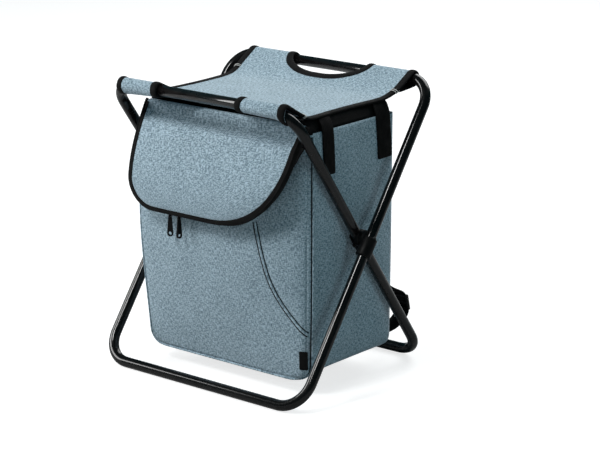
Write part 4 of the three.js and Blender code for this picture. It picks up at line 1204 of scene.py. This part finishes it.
def filled(x, y, z):
    """Takes a point of the flat box pattern to its place on the filled bag."""
    up = clamp((z - BAG_BOTTOM) / (BAG_TOP - BAG_BOTTOM))
    across = min(1.0, abs(x) / BAG_HALF)
    swell = (1 - across ** 2.6) * math.sin(math.pi * up ** 1.3)
    left = max(0.0, -x / BAG_HALF) ** 3 * math.sin(math.pi * up ** 1.3)
    if y < 0:
        y -= (FRONT_SWELL * swell + LEFT_SWELL * left) * (y / BAG_FRONT) ** 2
    else:
        y += REAR_SWELL * swell * (y / BAG_REAR) ** 2
    x *= 1 - (1 - BAG_LOW_HALF / BAG_HALF) * (1 - up) ** 3
    z -= FRONT_SAG * clamp((-y - 40 * MM) / (50 * MM)) * (1 - up) ** 6
    return Vector((x, y, z))


def rounded_edge(across, up, half, low, radius):
    """Rounds the two lower corners of a section of this half width that starts at low."""
    p = (abs(across) - (half - radius)) / radius
    q = (low + radius - up) / radius
    if p <= 0 or q <= 0:
        return across, up
    reach = max(p, q) / math.hypot(p, q)
    return (math.copysign(half - radius + p * reach * radius, across),
            low + radius - q * reach * radius)


def round_corner(x, z, inset):
    """Rounds the lower corners of the box pattern, seen from the front."""
    radius = max(sizes().corner - inset, 4 * MM)
    return rounded_edge(x, z, BAG_HALF - inset, BAG_BOTTOM + inset, radius)


def half_at_height(z, inset):
    """Half the box pattern's width where its lower corners are rounded."""
    radius = max(sizes().corner - inset, 4 * MM)
    low = max(0.0, BAG_BOTTOM + inset + radius - z)
    return BAG_HALF - inset - radius + math.sqrt(max(0.0, radius ** 2 - low ** 2))


def round_upright(x, y, z, inset):
    """Rounds the front's upright edges of the box pattern, seen from above."""
    radius = (FRONT_ROUND if x > 0 else LEFT_ROUND) - min(inset, 4 * MM)
    return rounded_edge(x, y, half_at_height(z, inset), inset - BAG_FRONT, radius)


# The bag's panels, in the order of the axes that they face
LEFT_SIDE, RIGHT_SIDE, FRONT, REAR, BASE, TOP = range(6)


def bag_box(steps, inset):
    """The bag's closed form, inset from the outside, with pattern coordinates in metres."""
    bm = stepped_box(steps)
    low = Vector((-BAG_HALF, -BAG_FRONT, BAG_BOTTOM)) + Vector((inset,) * 3)
    high = Vector((BAG_HALF, BAG_REAR, BAG_TOP)) - Vector((inset,) * 3)
    span = high - low
    layer = bm.loops.layers.uv.new("UVMap")
    side_of = bm.faces.layers.int.new("panel")
    bm.normal_update()
    for face in bm.faces:
        n = face.normal
        axis = max(range(3), key=lambda i: abs(n[i]))
        face[side_of] = 2 * axis + (1 if n[axis] > 0 else 0)
        for loop in face.loops:
            at = Vector(c * s for c, s in zip(loop.vert.co, span))
            if axis == 1:
                loop[layer].uv = (at.x, at.z)
            elif axis == 2:
                loop[layer].uv = (at.y, at.x - span.x)
            else:
                loop[layer].uv = (at.y, at.z if n.x > 0 else -span.x - at.z)
    for vert in bm.verts:
        at = low + Vector(c * s for c, s in zip(vert.co, span))
        x, z = round_corner(at.x, at.z, inset)
        x, y = round_upright(x, at.y, z, inset)
        vert.co = filled(x, y, z)
    return bm


def lid_outline(grow, under, top, steps=(8, 12, 10, 18)):
    """The lid's outline from its upper left, round the bottom, to its upper right, as (x, z)."""
    bottom = LID_BOTTOM - under
    left_radius = LEFT_CORNER + grow
    high = RIGHT_CORNER + grow
    wide = RIGHT_CORNER_WIDE + grow
    left_middle = LEFT_CORNER - LID_LEFT
    right_middle = LID_RIGHT - RIGHT_TAPER - RIGHT_CORNER_WIDE
    left_rise = bottom + left_radius
    right_rise = bottom + high
    taper = RIGHT_TAPER / (LID_TOP - LID_BOTTOM - RIGHT_CORNER)
    points = [(left_middle - left_radius, lerp(top, left_rise, i / steps[0]))
              for i in range(steps[0])]
    for i in range(steps[1] + 1):
        turn = math.pi + QUARTER * i / steps[1]
        points.append((left_middle + left_radius * math.cos(turn),
                       left_rise + left_radius * math.sin(turn)))
    points += [(lerp(left_middle, right_middle, i / steps[2]), bottom) for i in range(1, steps[2])]
    for i in range(steps[3] + 1):
        turn = math.pi + QUARTER * (1 + i / steps[3])
        points.append((right_middle + wide * math.cos(turn), right_rise + high * math.sin(turn)))
    for i in range(1, steps[0] + 1):
        z = lerp(right_rise, top, i / steps[0])
        points.append((right_middle + wide + taper * (z - right_rise), z))
    return points


def inside(outline, x, z):
    """True if (x, z) lies inside the closed outline."""
    odd = False
    for (ax, az), (bx, bz) in zip(outline, outline[1:] + outline[:1]):
        if (az > z) != (bz > z) and x < ax + (bx - ax) * (z - az) / (bz - az):
            odd = not odd
    return odd


def nearest_on(run, at):
    """The spot of a run of points that is nearest to a place."""
    best = None
    for a, b in zip(run, run[1:]):
        a, b = Vector(a), Vector(b)
        share = clamp((at - a).dot(b - a) / ((b - a).length_squared or 1))
        spot = a.lerp(b, share)
        if best is None or (spot - at).length < (best - at).length:
            best = spot
    return best


def tucked(x, z):
    """Moves a point of the mouth's right side in, under the lid."""
    return x - ZIP_TUCK * clamp((x - TUCK_START) / TUCK_EASE) * clamp((TUCK_TOP - z) / TUCK_RISE)


def cut_mouth(bm):
    """Takes the faces inside the mouth out of the front, and trims its rim to the outline."""
    outline = [(tucked(x, z), z) for x, z in lid_outline(-MOUTH_INSET, -MOUTH_INSET, MOUTH_TOP)]
    gone = []
    for face in bm.faces:
        at = face.calc_center_median()
        if at.y < MOUTH_FRONT and abs(face.normal.y) > 0.5 and inside(outline, at.x, at.z):
            gone.append(face)
    bmesh.ops.delete(bm, geom=gone, context="FACES")
    closed = outline + outline[:1]
    for vert in bm.verts:
        if vert.is_boundary and vert.co.y < MOUTH_FRONT:
            vert.co.x, vert.co.z = nearest_on(closed, Vector((vert.co.x, vert.co.z)))


PUFF_FRAMES = 18


def puff(bm, held, pressure, most):
    """Blows the closed cloth form up between its held points, and caps how far it goes."""
    bm.verts.index_update()
    bm.normal_update()
    mesh = bpy.data.meshes.new("puff")
    bm.to_mesh(mesh)
    form = bpy.data.objects.new("puff", mesh)
    bpy.context.scene.collection.objects.link(form)
    pins = form.vertex_groups.new(name="held")
    for index, weight in held.items():
        pins.add([index], weight, "REPLACE")
    cloth = form.modifiers.new("Cloth", "CLOTH")
    settings = cloth.settings
    settings.quality = 4
    settings.mass = 0.25
    settings.tension_stiffness = 12
    settings.compression_stiffness = 12
    settings.shear_stiffness = 5
    settings.bending_stiffness = 0.6
    settings.use_pressure = True
    settings.uniform_pressure_force = pressure
    settings.vertex_group_mass = "held"
    settings.effector_weights.gravity = 0.0
    cloth.collision_settings.use_collision = False
    cloth.collision_settings.use_self_collision = False
    cloth.point_cache.frame_start = 1
    cloth.point_cache.frame_end = PUFF_FRAMES
    scene = bpy.context.scene
    for number in range(1, PUFF_FRAMES + 1):
        scene.frame_set(number)
    blown = form.evaluated_get(bpy.context.evaluated_depsgraph_get()).to_mesh()
    moved = [v.co.copy() for v in blown.vertices]
    scene.frame_set(1)
    bpy.data.objects.remove(form)
    bm.verts.ensure_lookup_table()
    for vert, place in zip(bm.verts, moved):
        shift = place - vert.co
        outward = shift.dot(vert.normal)
        side = shift - vert.normal * outward
        outward = clamp(outward, -0.3 * MM, most)
        if side.length > most / 2:
            side *= most / 2 / side.length
        vert.co = vert.co + vert.normal * outward + side


def curved_seam(count=60):
    """Points (x, z) along the seam across the lower right of the front."""
    return smooth_run(in_metres(CURVED_SEAM_MM), count)


class STOOL_OT_bag(bpy.types.Operator):
    """Sews the bag's cloth panels, fills them and cuts the mouth"""
    bl_idname = "stool.bag"
    bl_label = "Bag cloth"

    def execute(self, context):
        size = sizes()
        bm = bag_box((60, 38, 70), 0.0)
        side_of = bm.faces.layers.int["panel"]
        seam = curved_seam(24)
        bm.normal_update()
        held = {}
        for vert in bm.verts:
            kinds = {f[side_of] for f in vert.link_faces}
            weight = 0.0
            if TOP in kinds or len(kinds) > 1 and kinds & {FRONT, REAR}:
                weight = 1.0
            elif BASE in kinds:
                weight = BASE_HOLD
            elif FRONT in kinds:
                if self.off_seam(seam, vert) < SEAM_HELD_WIDTH:
                    weight = SEAM_HOLD
                elif vert.co.z > UPPER_HELD_FROM:
                    weight = UPPER_HOLD
            if weight:
                held[vert.index] = weight
        puff(bm, held, BAG_PRESSURE, size.puff)
        bm.normal_update()
        for vert in bm.verts:
            kinds = {f[side_of] for f in vert.link_faces}
            if kinds == {FRONT}:
                near = self.off_seam(seam, vert)
                vert.co.y += SEAM_DIP * math.exp(-(near / SEAM_DIP_WIDTH) ** 2)
            slack = noise.noise(vert.co * 11) * 0.9 + noise.noise(vert.co * 30) * 0.4
            if len(kinds) == 1 and TOP not in kinds:
                vert.co += vert.normal * (slack * MM)
            if kinds == {LEFT_SIDE} or kinds == {RIGHT_SIDE}:
                self.hang(vert)
        cut_mouth(bm)
        groups = (
            ("bag_front_cloth", {FRONT}, cloth_material(), "bag_cloth", ("bag_front_panel",)),
            ("bag_rear_cloth", {REAR}, cloth_material(), "bag_cloth", ("bag_rear_panel",)),
            ("bag_gusset_cloth", {LEFT_SIDE, RIGHT_SIDE, BASE}, cloth_material(), "bag_cloth",
             ("bag_side_panel_right", "bag_side_panel_left", "bag_base")),
            ("bag_top_lining", {TOP}, lining_material(), "black_webbing", ("bag_top_panel",)),
        )
        for name, kinds, material, slot, nodes in groups:
            part = bm.copy()
            layer = part.faces.layers.int["panel"]
            gone = [f for f in part.faces if f[layer] not in kinds]
            bmesh.ops.delete(part, geom=gone, context="FACES")
            piece = new_piece(part, name, material, "cooler_bag")
            modify(piece, "SOLIDIFY", thickness=size.cloth, offset=-1.0)
            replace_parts(piece, *nodes)
        bm.free()
        return {"FINISHED"}

    @staticmethod
    def off_seam(seam, vert):
        """How far a point of the front lies from the curved seam, seen from the front."""
        at = Vector((vert.co.x, vert.co.z))
        return (nearest_on(seam, at) - at).length

    def hang(self, vert):
        """Gives a side panel its upright folds, and keeps it off the pivot's rivet and collar."""
        x, y, z = vert.co
        side = math.copysign(1, x)
        fade = clamp((BAG_TOP - z) / SIDE_FADE - 0.2)
        fold = noise.noise(Vector((y * 32, z * 9, 2.2 * side))) * fade
        away = math.hypot(y, z - PIVOT_HEIGHT)
        most = SIDE_ROOM + SIDE_MORE_ROOM * clamp((away - PIVOT_CLEAR) / PIVOT_EASE)
        vert.co.x = side * min(abs(x) + SIDE_FOLD * fold, most)


def lining_tub(name, inset, thick, material, node):
    bm = bag_box((30, 18, 34), inset)
    cut_mouth(bm)
    piece = new_piece(bm, name, material, "cooler_bag")
    modify(piece, "SOLIDIFY", thickness=thick, offset=-1.0)
    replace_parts(piece, node)
    return piece


class STOOL_OT_lining(bpy.types.Operator):
    """Forms the foam and the bright liner inside the bag"""
    bl_idname = "stool.lining"
    bl_label = "Foam and liner"

    def execute(self, context):
        foam = lining_tub("formed_foam", FOAM_INSET, FOAM_THICK, foam_material(),
                          "insulation_foam")
        lining_tub("foil_tub", FOIL_INSET, FOIL_THICK, foil_material(),
                   "cooler_liner")
        return {"FINISHED"}


class Surface:
    """Finds places on finished pieces, so that what is sewn to them lies on them."""

    def __init__(self, *names):
        self.trees = []
        graph = bpy.context.evaluated_depsgraph_get()
        for name in names:
            self.trees.append(BVHTree.FromObject(bpy.data.objects[name], graph))

    def hit(self, start, way):
        found = None
        for tree in self.trees:
            place, normal, _, distance = tree.ray_cast(start, way)
            if place is not None and (found is None or distance < found[2]):
                found = (place, normal if normal.dot(way) < 0 else -normal, distance)
        if found is None:
            raise RuntimeError(f"nothing lies at {tuple(start)} along {tuple(way)}")
        return found[0], found[1]

    def front(self, x, z):
        return self.hit(Vector((x, -0.4, z)), Vector((0, 1, 0)))

    def rear(self, x, z):
        return self.hit(Vector((x, 0.4, z)), Vector((0, -1, 0)))

    def right(self, y, z):
        return self.hit(Vector((0.4, y, z)), Vector((-1, 0, 0)))


class STOOL_OT_seams(bpy.types.Operator):
    """Adds the piped seams, their near-black stitch lines that also paint the shade of the seam
    grooves, and the small tab
    """
    bl_idname = "stool.seams"
    bl_label = "Seams and tab"

    def execute(self, context):
        size = sizes()
        surface = Surface("bag_front_cloth", "bag_gusset_cloth")
        corner = []
        for i in range(1, 9):
            turn = QUARTER * i / 8
            corner.append((-(BAG_HALF - size.corner + size.corner * math.cos(turn)),
                           BAG_BOTTOM + size.corner * (1 - math.sin(turn))))
        left = [(-BAG_HALF, lerp(BAG_TOP - 4 * MM, BAG_BOTTOM + size.corner, i / 40))
                for i in range(41)] + corner
        base = [(lerp(-(BAG_HALF - size.corner), BAG_HALF - size.corner, i / 30), BAG_BOTTOM)
                for i in range(1, 30)]
        rim = left + base + [(-x, z) for x, z in reversed(left)]
        piped = []
        for x, z in rim:
            back = FRONT_WRAP * clamp((x - BAG_HALF + size.corner) / size.corner) ** 0.5
            px, py = round_upright(x, -BAG_FRONT + back, z, 0.0)
            at = filled(px, py, z)
            away = Vector((x / BAG_HALF, 0, 0))
            if z <= BAG_BOTTOM + size.corner:
                inner = math.copysign(min(abs(x), BAG_HALF - size.corner), x)
                away = Vector((x - inner, 0, z - BAG_BOTTOM - size.corner)).normalized()
            forward = Vector((0, -1, 0)) * (1 - back / FRONT_WRAP)
            piped.append((at + away * PIPING_OUT + forward * PIPING_FORWARD,
                          (away + forward).normalized()))
        piece = swept(seam_stations(piped, 0.0), 2 * size.piping, 2 * size.piping,
                      "front_seam_piping", cord_cloth_material(), "cooler_bag", "bag_cloth", **CORD)
        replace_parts(piece, "front_piping")
        # The right upright seam's near-black line is its stitching and painted shade of its groove.
        groove = []
        for _, z in left:
            level = clamp(z, BAG_BOTTOM + GROOVE_LOW, BAG_TOP - GROOVE_HIGH)
            y = filled(0.999 * BAG_HALF, GROOVE_WRAP - BAG_FRONT, z).y
            groove.append(surface.right(y, level))
        self.stitch_and_groove_shade(groove, "front_seam_right_stitch_and_groove_shade")
        points = [surface.front(p.x, p.y) for p in curved_seam()]
        piece = swept(seam_stations(points, WELT_LIFT), WELT_WIDTH, WELT_THICK,
                      "curved_seam_welt", cord_cloth_material(), "cooler_bag", "bag_cloth", **CORD)
        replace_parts(piece, "curved_piping")
        # Near-black lines each side of the welt: stitching, and painted shade of the seam grooves.
        for word, offset in (("upper", STITCH_SHADE_OFFSET), ("lower", -STITCH_SHADE_OFFSET)):
            line = []
            for at, across, _ in seam_stations(points, 0.0):
                spot = at + across * offset
                line.append(surface.front(spot.x, spot.z))
            self.stitch_and_groove_shade(line, f"curved_seam_{word}_stitching")
        tab = [surface.front(TAB_PLACE, lerp(TAB_TOP, TAB_END, i / 8)) for i in range(9)]
        piece = swept(seam_stations(tab, WELT_LIFT), TAB_WIDTH, TAB_THICK, "folded_tab",
                      tape_material(), "cooler_bag", "black_webbing", steps=(4, 1), rounding=0.5)
        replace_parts(piece, "seam_tab")
        return {"FINISHED"}

    def stitch_and_groove_shade(self, points, name):
        # Near-black thread colour: these lines paint the shade of the seam grooves as well as the
        # stitching.
        thread = thread_material("Dark seam thread with painted groove shade", (0.006, 0.010, 0.014, 1))
        swept(seam_stations(points, STITCH_SHADE_LIFT), STITCH_SHADE_WIDTH, STITCH_SHADE_THICK, name, thread,
              "cooler_bag", "bag_cloth", **STITCH_SHADE_FORM)


# Lid

def lid_front(z):
    down = clamp((LID_TOP - z) / LID_LEAN_HEIGHT)
    return -LID_REACH - LID_LIFT * math.sin(down * QUARTER)


def lid_sides(z):
    low = max(0.0, LID_BOTTOM + LEFT_CORNER - z)
    left = -LID_LEFT + LEFT_CORNER - math.sqrt(max(0.0, LEFT_CORNER ** 2 - low ** 2))
    rise = LID_BOTTOM + RIGHT_CORNER
    low = max(0.0, rise - z) / RIGHT_CORNER
    up = max(0.0, z - rise) / (LID_TOP - rise)
    right = (LID_RIGHT - RIGHT_TAPER * (1 - up) - RIGHT_CORNER_WIDE
             + RIGHT_CORNER_WIDE * math.sqrt(max(0.0, 1 - low ** 2)))
    return left, right


class STOOL_OT_lid(bpy.types.Operator):
    """Fills the padded lid and binds its edge"""
    bl_idname = "stool.lid"
    bl_label = "Lid"

    def execute(self, context):
        size = sizes()
        bm = stepped_box((52, 3, 40))
        box_uv(bm, (2 * LID_LEFT, LID_THICK, LID_TOP - LID_BOTTOM))
        held = {}
        for vert in bm.verts:
            u, v, w = vert.co
            z = lerp(LID_BOTTOM, LID_TOP, w ** 1.7)
            left, right = lid_sides(z)
            crown = (1 - abs(2 * u - 1) ** 4) * (1 - abs(2 * w - 1) ** 4)
            front = lid_front(z) - size.crown * 0.7 * crown
            back = lid_front(z) + LID_THICK
            vert.co = Vector((lerp(left, right, u), lerp(front, back, v), z))
            rim = min(u, 1 - u, w, 1 - w)
            if rim < 0.02 or v > 0.6:
                held[vert.index] = 1.0
        puff(bm, held, LID_PRESSURE, LID_PUFF)
        bm.normal_update()
        for vert in bm.verts:
            if vert.index not in held:
                soft = noise.noise(vert.co * 14) * 0.8 + noise.noise(vert.co * 38) * 0.35
                vert.co += vert.normal * (soft * MM)
                crease = LID_CREASE + 4 * MM * noise.noise(Vector((vert.co.x * 9, 0, 5.5)))
                off = (vert.co.z - crease) / LID_CREASE_WIDTH
                vert.co += vert.normal * (-LID_CREASE_DEPTH * math.exp(-off * off))
        piece = new_piece(bm, "lid_pad", cloth_material(), "lid")
        smoothed(piece)
        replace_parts(piece, "lid_panel")
        outline = [Vector((x, lid_front(z) + LID_THICK / 2, z))
                   for x, z in lid_outline(LID_EDGE_GROWS, LID_EDGE_GROWS, LID_TOP - 0.5 * MM)]
        stations = square_stations(outline, Vector((0, 1, 0)), -1)
        piece = swept(stations, LID_TAPE_WIDTH, LID_TAPE_THICK, "lid_edge_tape", tape_material(),
                      "lid", "black_webbing", **TAPE)
        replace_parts(piece, "lid_binding")
        self.border(Surface("lid_pad"))
        return {"FINISHED"}

    def border(self, surface):
        """The tape's flat lip on the lid's face."""
        top = LID_TOP - 3 * MM
        outlines = [lid_outline(grow, grow, top) for grow in (LIP_OUTER, LIP_NEAR, LIP_INNER)]
        rims = []
        for (ex, ez), (nx, nz), (ix, iz) in zip(*outlines):
            start = Vector((ex, surface.front(nx, nz)[0].y - 0.2 * MM, ez))
            end = surface.front(ix, iz)[0] + Vector((0, -0.5 * MM, 0))
            rims.append((start, end))
        ways = ways_along([start + end for start, end in rims])
        stations = []
        for (start, end), along in zip(rims, ways):
            across = end - start
            out = along.cross(across).normalized()
            stations.append((start.lerp(end, 0.5), across, out if out.y < 0 else -out))
        swept(stations, 1.0, LIP_THICK, "lid_face_tape", tape_material(), "lid", "black_webbing",
              **LIP)


class STOOL_OT_zip(bpy.types.Operator):
    """Adds the band under the lid with its zip, and finishes sliders and pulls"""
    bl_idname = "stool.zip"
    bl_label = "Zip"

    def execute(self, context):
        surface = Surface("bag_front_cloth")
        near = lid_outline(ZIP_NEAR, ZIP_NEAR, ZIP_TOP)
        far = lid_outline(ZIP_FAR, ZIP_FAR_UNDER, ZIP_TOP)
        middles = []
        acrosses = []
        for (nx, nz), (fx, fz) in zip(near, far):
            start = Vector((nx, lid_front(nz) + LID_THICK + ZIP_BACK, nz))
            end = surface.front(tucked(fx, fz), fz)[0] + Vector((0, -0.4 * MM, 0))
            middles.append(start.lerp(end, 0.5))
            acrosses.append(end - start)
        stations = given_across(middles, acrosses)
        band = swept(stations, 1.0, ZIP_THICK, "zip_band", zip_material(), "cooler_bag",
                     "black_webbing", **FLAT)
        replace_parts(band, "zip_gusset")
        coil = [(at + across * 0.05 + out * COIL_LIFT, across.normalized(), out)
                for at, across, out in stations]
        teeth = thread_material("Zip coil", colours().zip_tape)
        swept(coil, COIL_WIDTH, COIL_THICK, "zip_coil", teeth, "cooler_bag",
              "black_webbing", steps=(4, 1), rounding=0.5, levels=0)
        for word in ("left", "right"):
            for node, material in ((f"zip_slider_{word}", metal_material()),
                                   (f"zip_pull_{word}", plastic_material())):
                part = repaint(node, material)
                modify(part, "WELD", merge_threshold=1e-5)
                modify(part, "BEVEL", width=0.35 * MM, segments=2, limit_method="ANGLE")
        return {"FINISHED"}


# Straps

def hang_strap(surface, middle, slant):
    """Stations from the strap's lower end up the bag's side to the seat's edge."""
    points = []
    high = seat_top(middle) - STRAP_UNDER_SEAT
    count = 16
    for i in range(count + 1):
        z = lerp(STRAP_LOW, high, i / count)
        place = middle + slant * (1 - i / count) ** 2
        side, _ = surface.right(place, min(z, STRAP_HELD))
        past = clamp((z - STRAP_HELD) / (high - STRAP_HELD))
        x = lerp(side.x + STRAP_OFF_BAG, SEAT_WAIST + STRAP_OFF_WAIST, past ** 2)
        points.append(Vector((x, place, z)))
    return given_across(points, [Vector((0, 1, 0))] * len(points))


def side_band(front):
    """Stations of the band from the bag's top edge up to the seat, from its front end backwards."""
    count = 24
    path = []
    for i in range(count + 1):
        y = lerp(front, BAND_REAR, i / count)
        lower = Vector((BAG_HALF - 2.2 * MM, y, BAG_TOP - 0.3 * MM))
        upper = Vector((SEAT_WAIST - 3 * MM, y, seat_top(y) - 2.7 * MM))
        path.append(((lower + upper) / 2, upper - lower, Vector((1, 0, 0))))
    return path


class STOOL_OT_straps(bpy.types.Operator):
    """Hangs the bag from the seat: two bands and four webbing straps"""
    bl_idname = "stool.straps"
    bl_label = "Hanging straps"

    def execute(self, context):
        surface = Surface("bag_gusset_cloth")
        for end, middle, slant, wide in HANG_STRAPS:
            path = hang_strap(surface, middle, slant)
            for word, stations in (("right", path), ("left", mirrored_x(path))):
                piece = swept(stations, wide, STRAP_THICK, f"{end}_webbing_hanger_{word}",
                              webbing_material(), "cooler_bag", "black_webbing", **WEBBING)
                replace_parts(piece, f"{end}_hang_strap_{word}")
                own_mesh(piece)
        bands = (("right", side_band(BAND_FRONT_RIGHT)),
                 ("left", mirrored_x(side_band(BAND_FRONT_LEFT))))
        for word, stations in bands:
            piece = swept(stations, 1.0, STRAP_THICK, f"side_band_{word}", lining_material(),
                          "cooler_bag", "black_webbing", **FLAT)
            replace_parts(piece, f"hanging_band_{word}")
            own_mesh(piece)
        return {"FINISHED"}


class STOOL_OT_carrying(bpy.types.Operator):
    """Adds the two carrying straps on the back: pads, webbing and ladder locks"""
    bl_idname = "stool.carrying"
    bl_label = "Carrying straps"

    def execute(self, context):
        surface = Surface("bag_rear_cloth")
        run = []
        for i in range(13):
            z = lerp(PAD_TOP, PAD_END, i / 12)
            x = lerp(PAD_TOP_PLACE, PAD_END_PLACE, (i / 12) ** 2)
            at, _ = surface.rear(x, z)
            clear = lerp(PAD_CLEAR_TOP, PAD_CLEAR, clamp(i / 5))
            run.append(Vector((x, max(at.y + PAD_OFF_BAG, clear), z)))
        bands = (
            ("padded_shoulder_strap", "shoulder_pad", smooth_run(run, 26), PAD_WIDTH, PAD_THICK,
             {"steps": (8, 2), "rounding": 0.55}),
            ("upper_strap_webbing", "upper_webbing", smooth_run(in_metres(UPPER_WEBBING_MM), 18),
             CARRY_WIDTH, STRAP_THICK, WEBBING),
            ("lower_strap_webbing", "lower_webbing", smooth_run(in_metres(LOWER_WEBBING_MM), 22),
             CARRY_WIDTH, STRAP_THICK, WEBBING),
        )
        for word in ("right", "left"):
            for name, node, points, wide, thick, form in bands:
                stations = square_stations(points, Vector((1, 0, 0)))
                stations = stations if word == "right" else mirrored_x(stations)
                piece = swept(stations, wide, thick, f"{name}_{word}", webbing_material(),
                              "cooler_bag", "black_webbing", **form)
                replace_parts(piece, f"{node}_{word}")
            part = repaint(f"ladder_lock_{word}", plastic_material())
            modify(part, "WELD", merge_threshold=1e-5)
            modify(part, "BEVEL", width=0.7 * MM, segments=3, limit_method="ANGLE")
        return {"FINISHED"}


# Stage

class STOOL_OT_stage(bpy.types.Operator):
    """Lays the pale floor, sets the soft studio lights and places the camera"""
    bl_idname = "stool.stage"
    bl_label = "Stage"

    def execute(self, context):
        scene = context.scene
        bm = bmesh.new()
        bmesh.ops.create_grid(bm, x_segments=1, y_segments=1, size=FLOOR_HALF)
        bmesh.ops.translate(bm, vec=(0, 0, -FLOOR_DROP), verts=bm.verts)
        mesh = bpy.data.meshes.new("studio_floor")
        bm.to_mesh(mesh)
        bm.free()
        floor = bpy.data.objects.new("studio_floor", mesh)
        scene.collection.objects.link(floor)
        material = bpy.data.materials.new("Studio floor")
        material.use_nodes = True
        surface = material.node_tree.nodes["Principled BSDF"]
        path = material.node_tree.nodes.new("ShaderNodeLightPath")
        seen = maths(material.node_tree, "MULTIPLY", path.outputs["Is Camera Ray"], 0.75)
        wire(material.node_tree, surface, Base_Color=tuple(colours().floor), Roughness=0.8,
             Specular_IOR_Level=0.2, Emission_Color=(1, 1, 1, 1), Emission_Strength=seen)
        mesh.materials.append(material)

        world = bpy.data.worlds.new("Studio")
        world.use_nodes = True
        wire(world.node_tree, world.node_tree.nodes["Background"], Color=WORLD_TINT,
             Strength=WORLD_STRENGTH)
        scene.world = world

        for name, place, wide, tall, power, tint, mirrored in LIGHTS:
            light = bpy.data.lights.new(name, "AREA")
            light.shape = "RECTANGLE"
            light.size = wide
            light.size_y = tall
            light.energy = power
            light.color = tint
            lamp = bpy.data.objects.new(name, light)
            lamp.location = place
            lamp.visible_glossy = mirrored
            aim = Vector((0, 0, 0.2)) - Vector(place)
            lamp.rotation_euler = aim.to_track_quat("-Z", "Y").to_euler()
            scene.collection.objects.link(lamp)

        camera = bpy.data.objects.new("camera", bpy.data.cameras.new("camera"))
        camera.location = CAMERA_PLACE
        camera.rotation_euler = (QUARTER - CAMERA_HEIGHT_ANGLE, 0, CAMERA_TURN)
        camera.data.lens = CAMERA_LENS
        camera.data.sensor_width = 36
        camera.data.shift_x, camera.data.shift_y = CAMERA_SHIFT
        scene.collection.objects.link(camera)
        scene.camera = camera
        scene.view_settings.view_transform = "Standard"
        return {"FINISHED"}


class STOOL_PT_panel(bpy.types.Panel):
    """The stool's sizes, colours and building steps"""
    bl_idname = "STOOL_PT_panel"
    bl_label = "Folding Cooler Stool"
    bl_space_type = "VIEW_3D"
    bl_region_type = "UI"
    bl_category = "Stool"

    def draw(self, context):
        for group in (context.scene.stool_sizes, context.scene.stool_colours):
            box = self.layout.box()
            for label in group.bl_rna.properties.keys():
                if label not in ("rna_type", "name"):
                    box.prop(group, label)
        for operator in OPERATORS:
            self.layout.operator(operator.bl_idname)


OPERATORS = (
    STOOL_OT_stage,
    STOOL_OT_frames,
    STOOL_OT_collars,
    STOOL_OT_seat,
    STOOL_OT_bindings,
    STOOL_OT_bag,
    STOOL_OT_lining,
    STOOL_OT_seams,
    STOOL_OT_lid,
    STOOL_OT_zip,
    STOOL_OT_straps,
    STOOL_OT_carrying,
)
CLASSES = (StoolSizes, StoolColours, *OPERATORS, STOOL_PT_panel)


def register():
    for cls in CLASSES:
        bpy.utils.register_class(cls)
    bpy.types.Scene.stool_sizes = PointerProperty(type=StoolSizes)
    bpy.types.Scene.stool_colours = PointerProperty(type=StoolColours)


def unregister():
    del bpy.types.Scene.stool_colours
    del bpy.types.Scene.stool_sizes
    for cls in reversed(CLASSES):
        bpy.utils.unregister_class(cls)


def main():
    register()
    for operator in OPERATORS:
        group, name = operator.bl_idname.split(".")
        getattr(getattr(bpy.ops, group), name)()


if __name__ == "__main__":
    main()
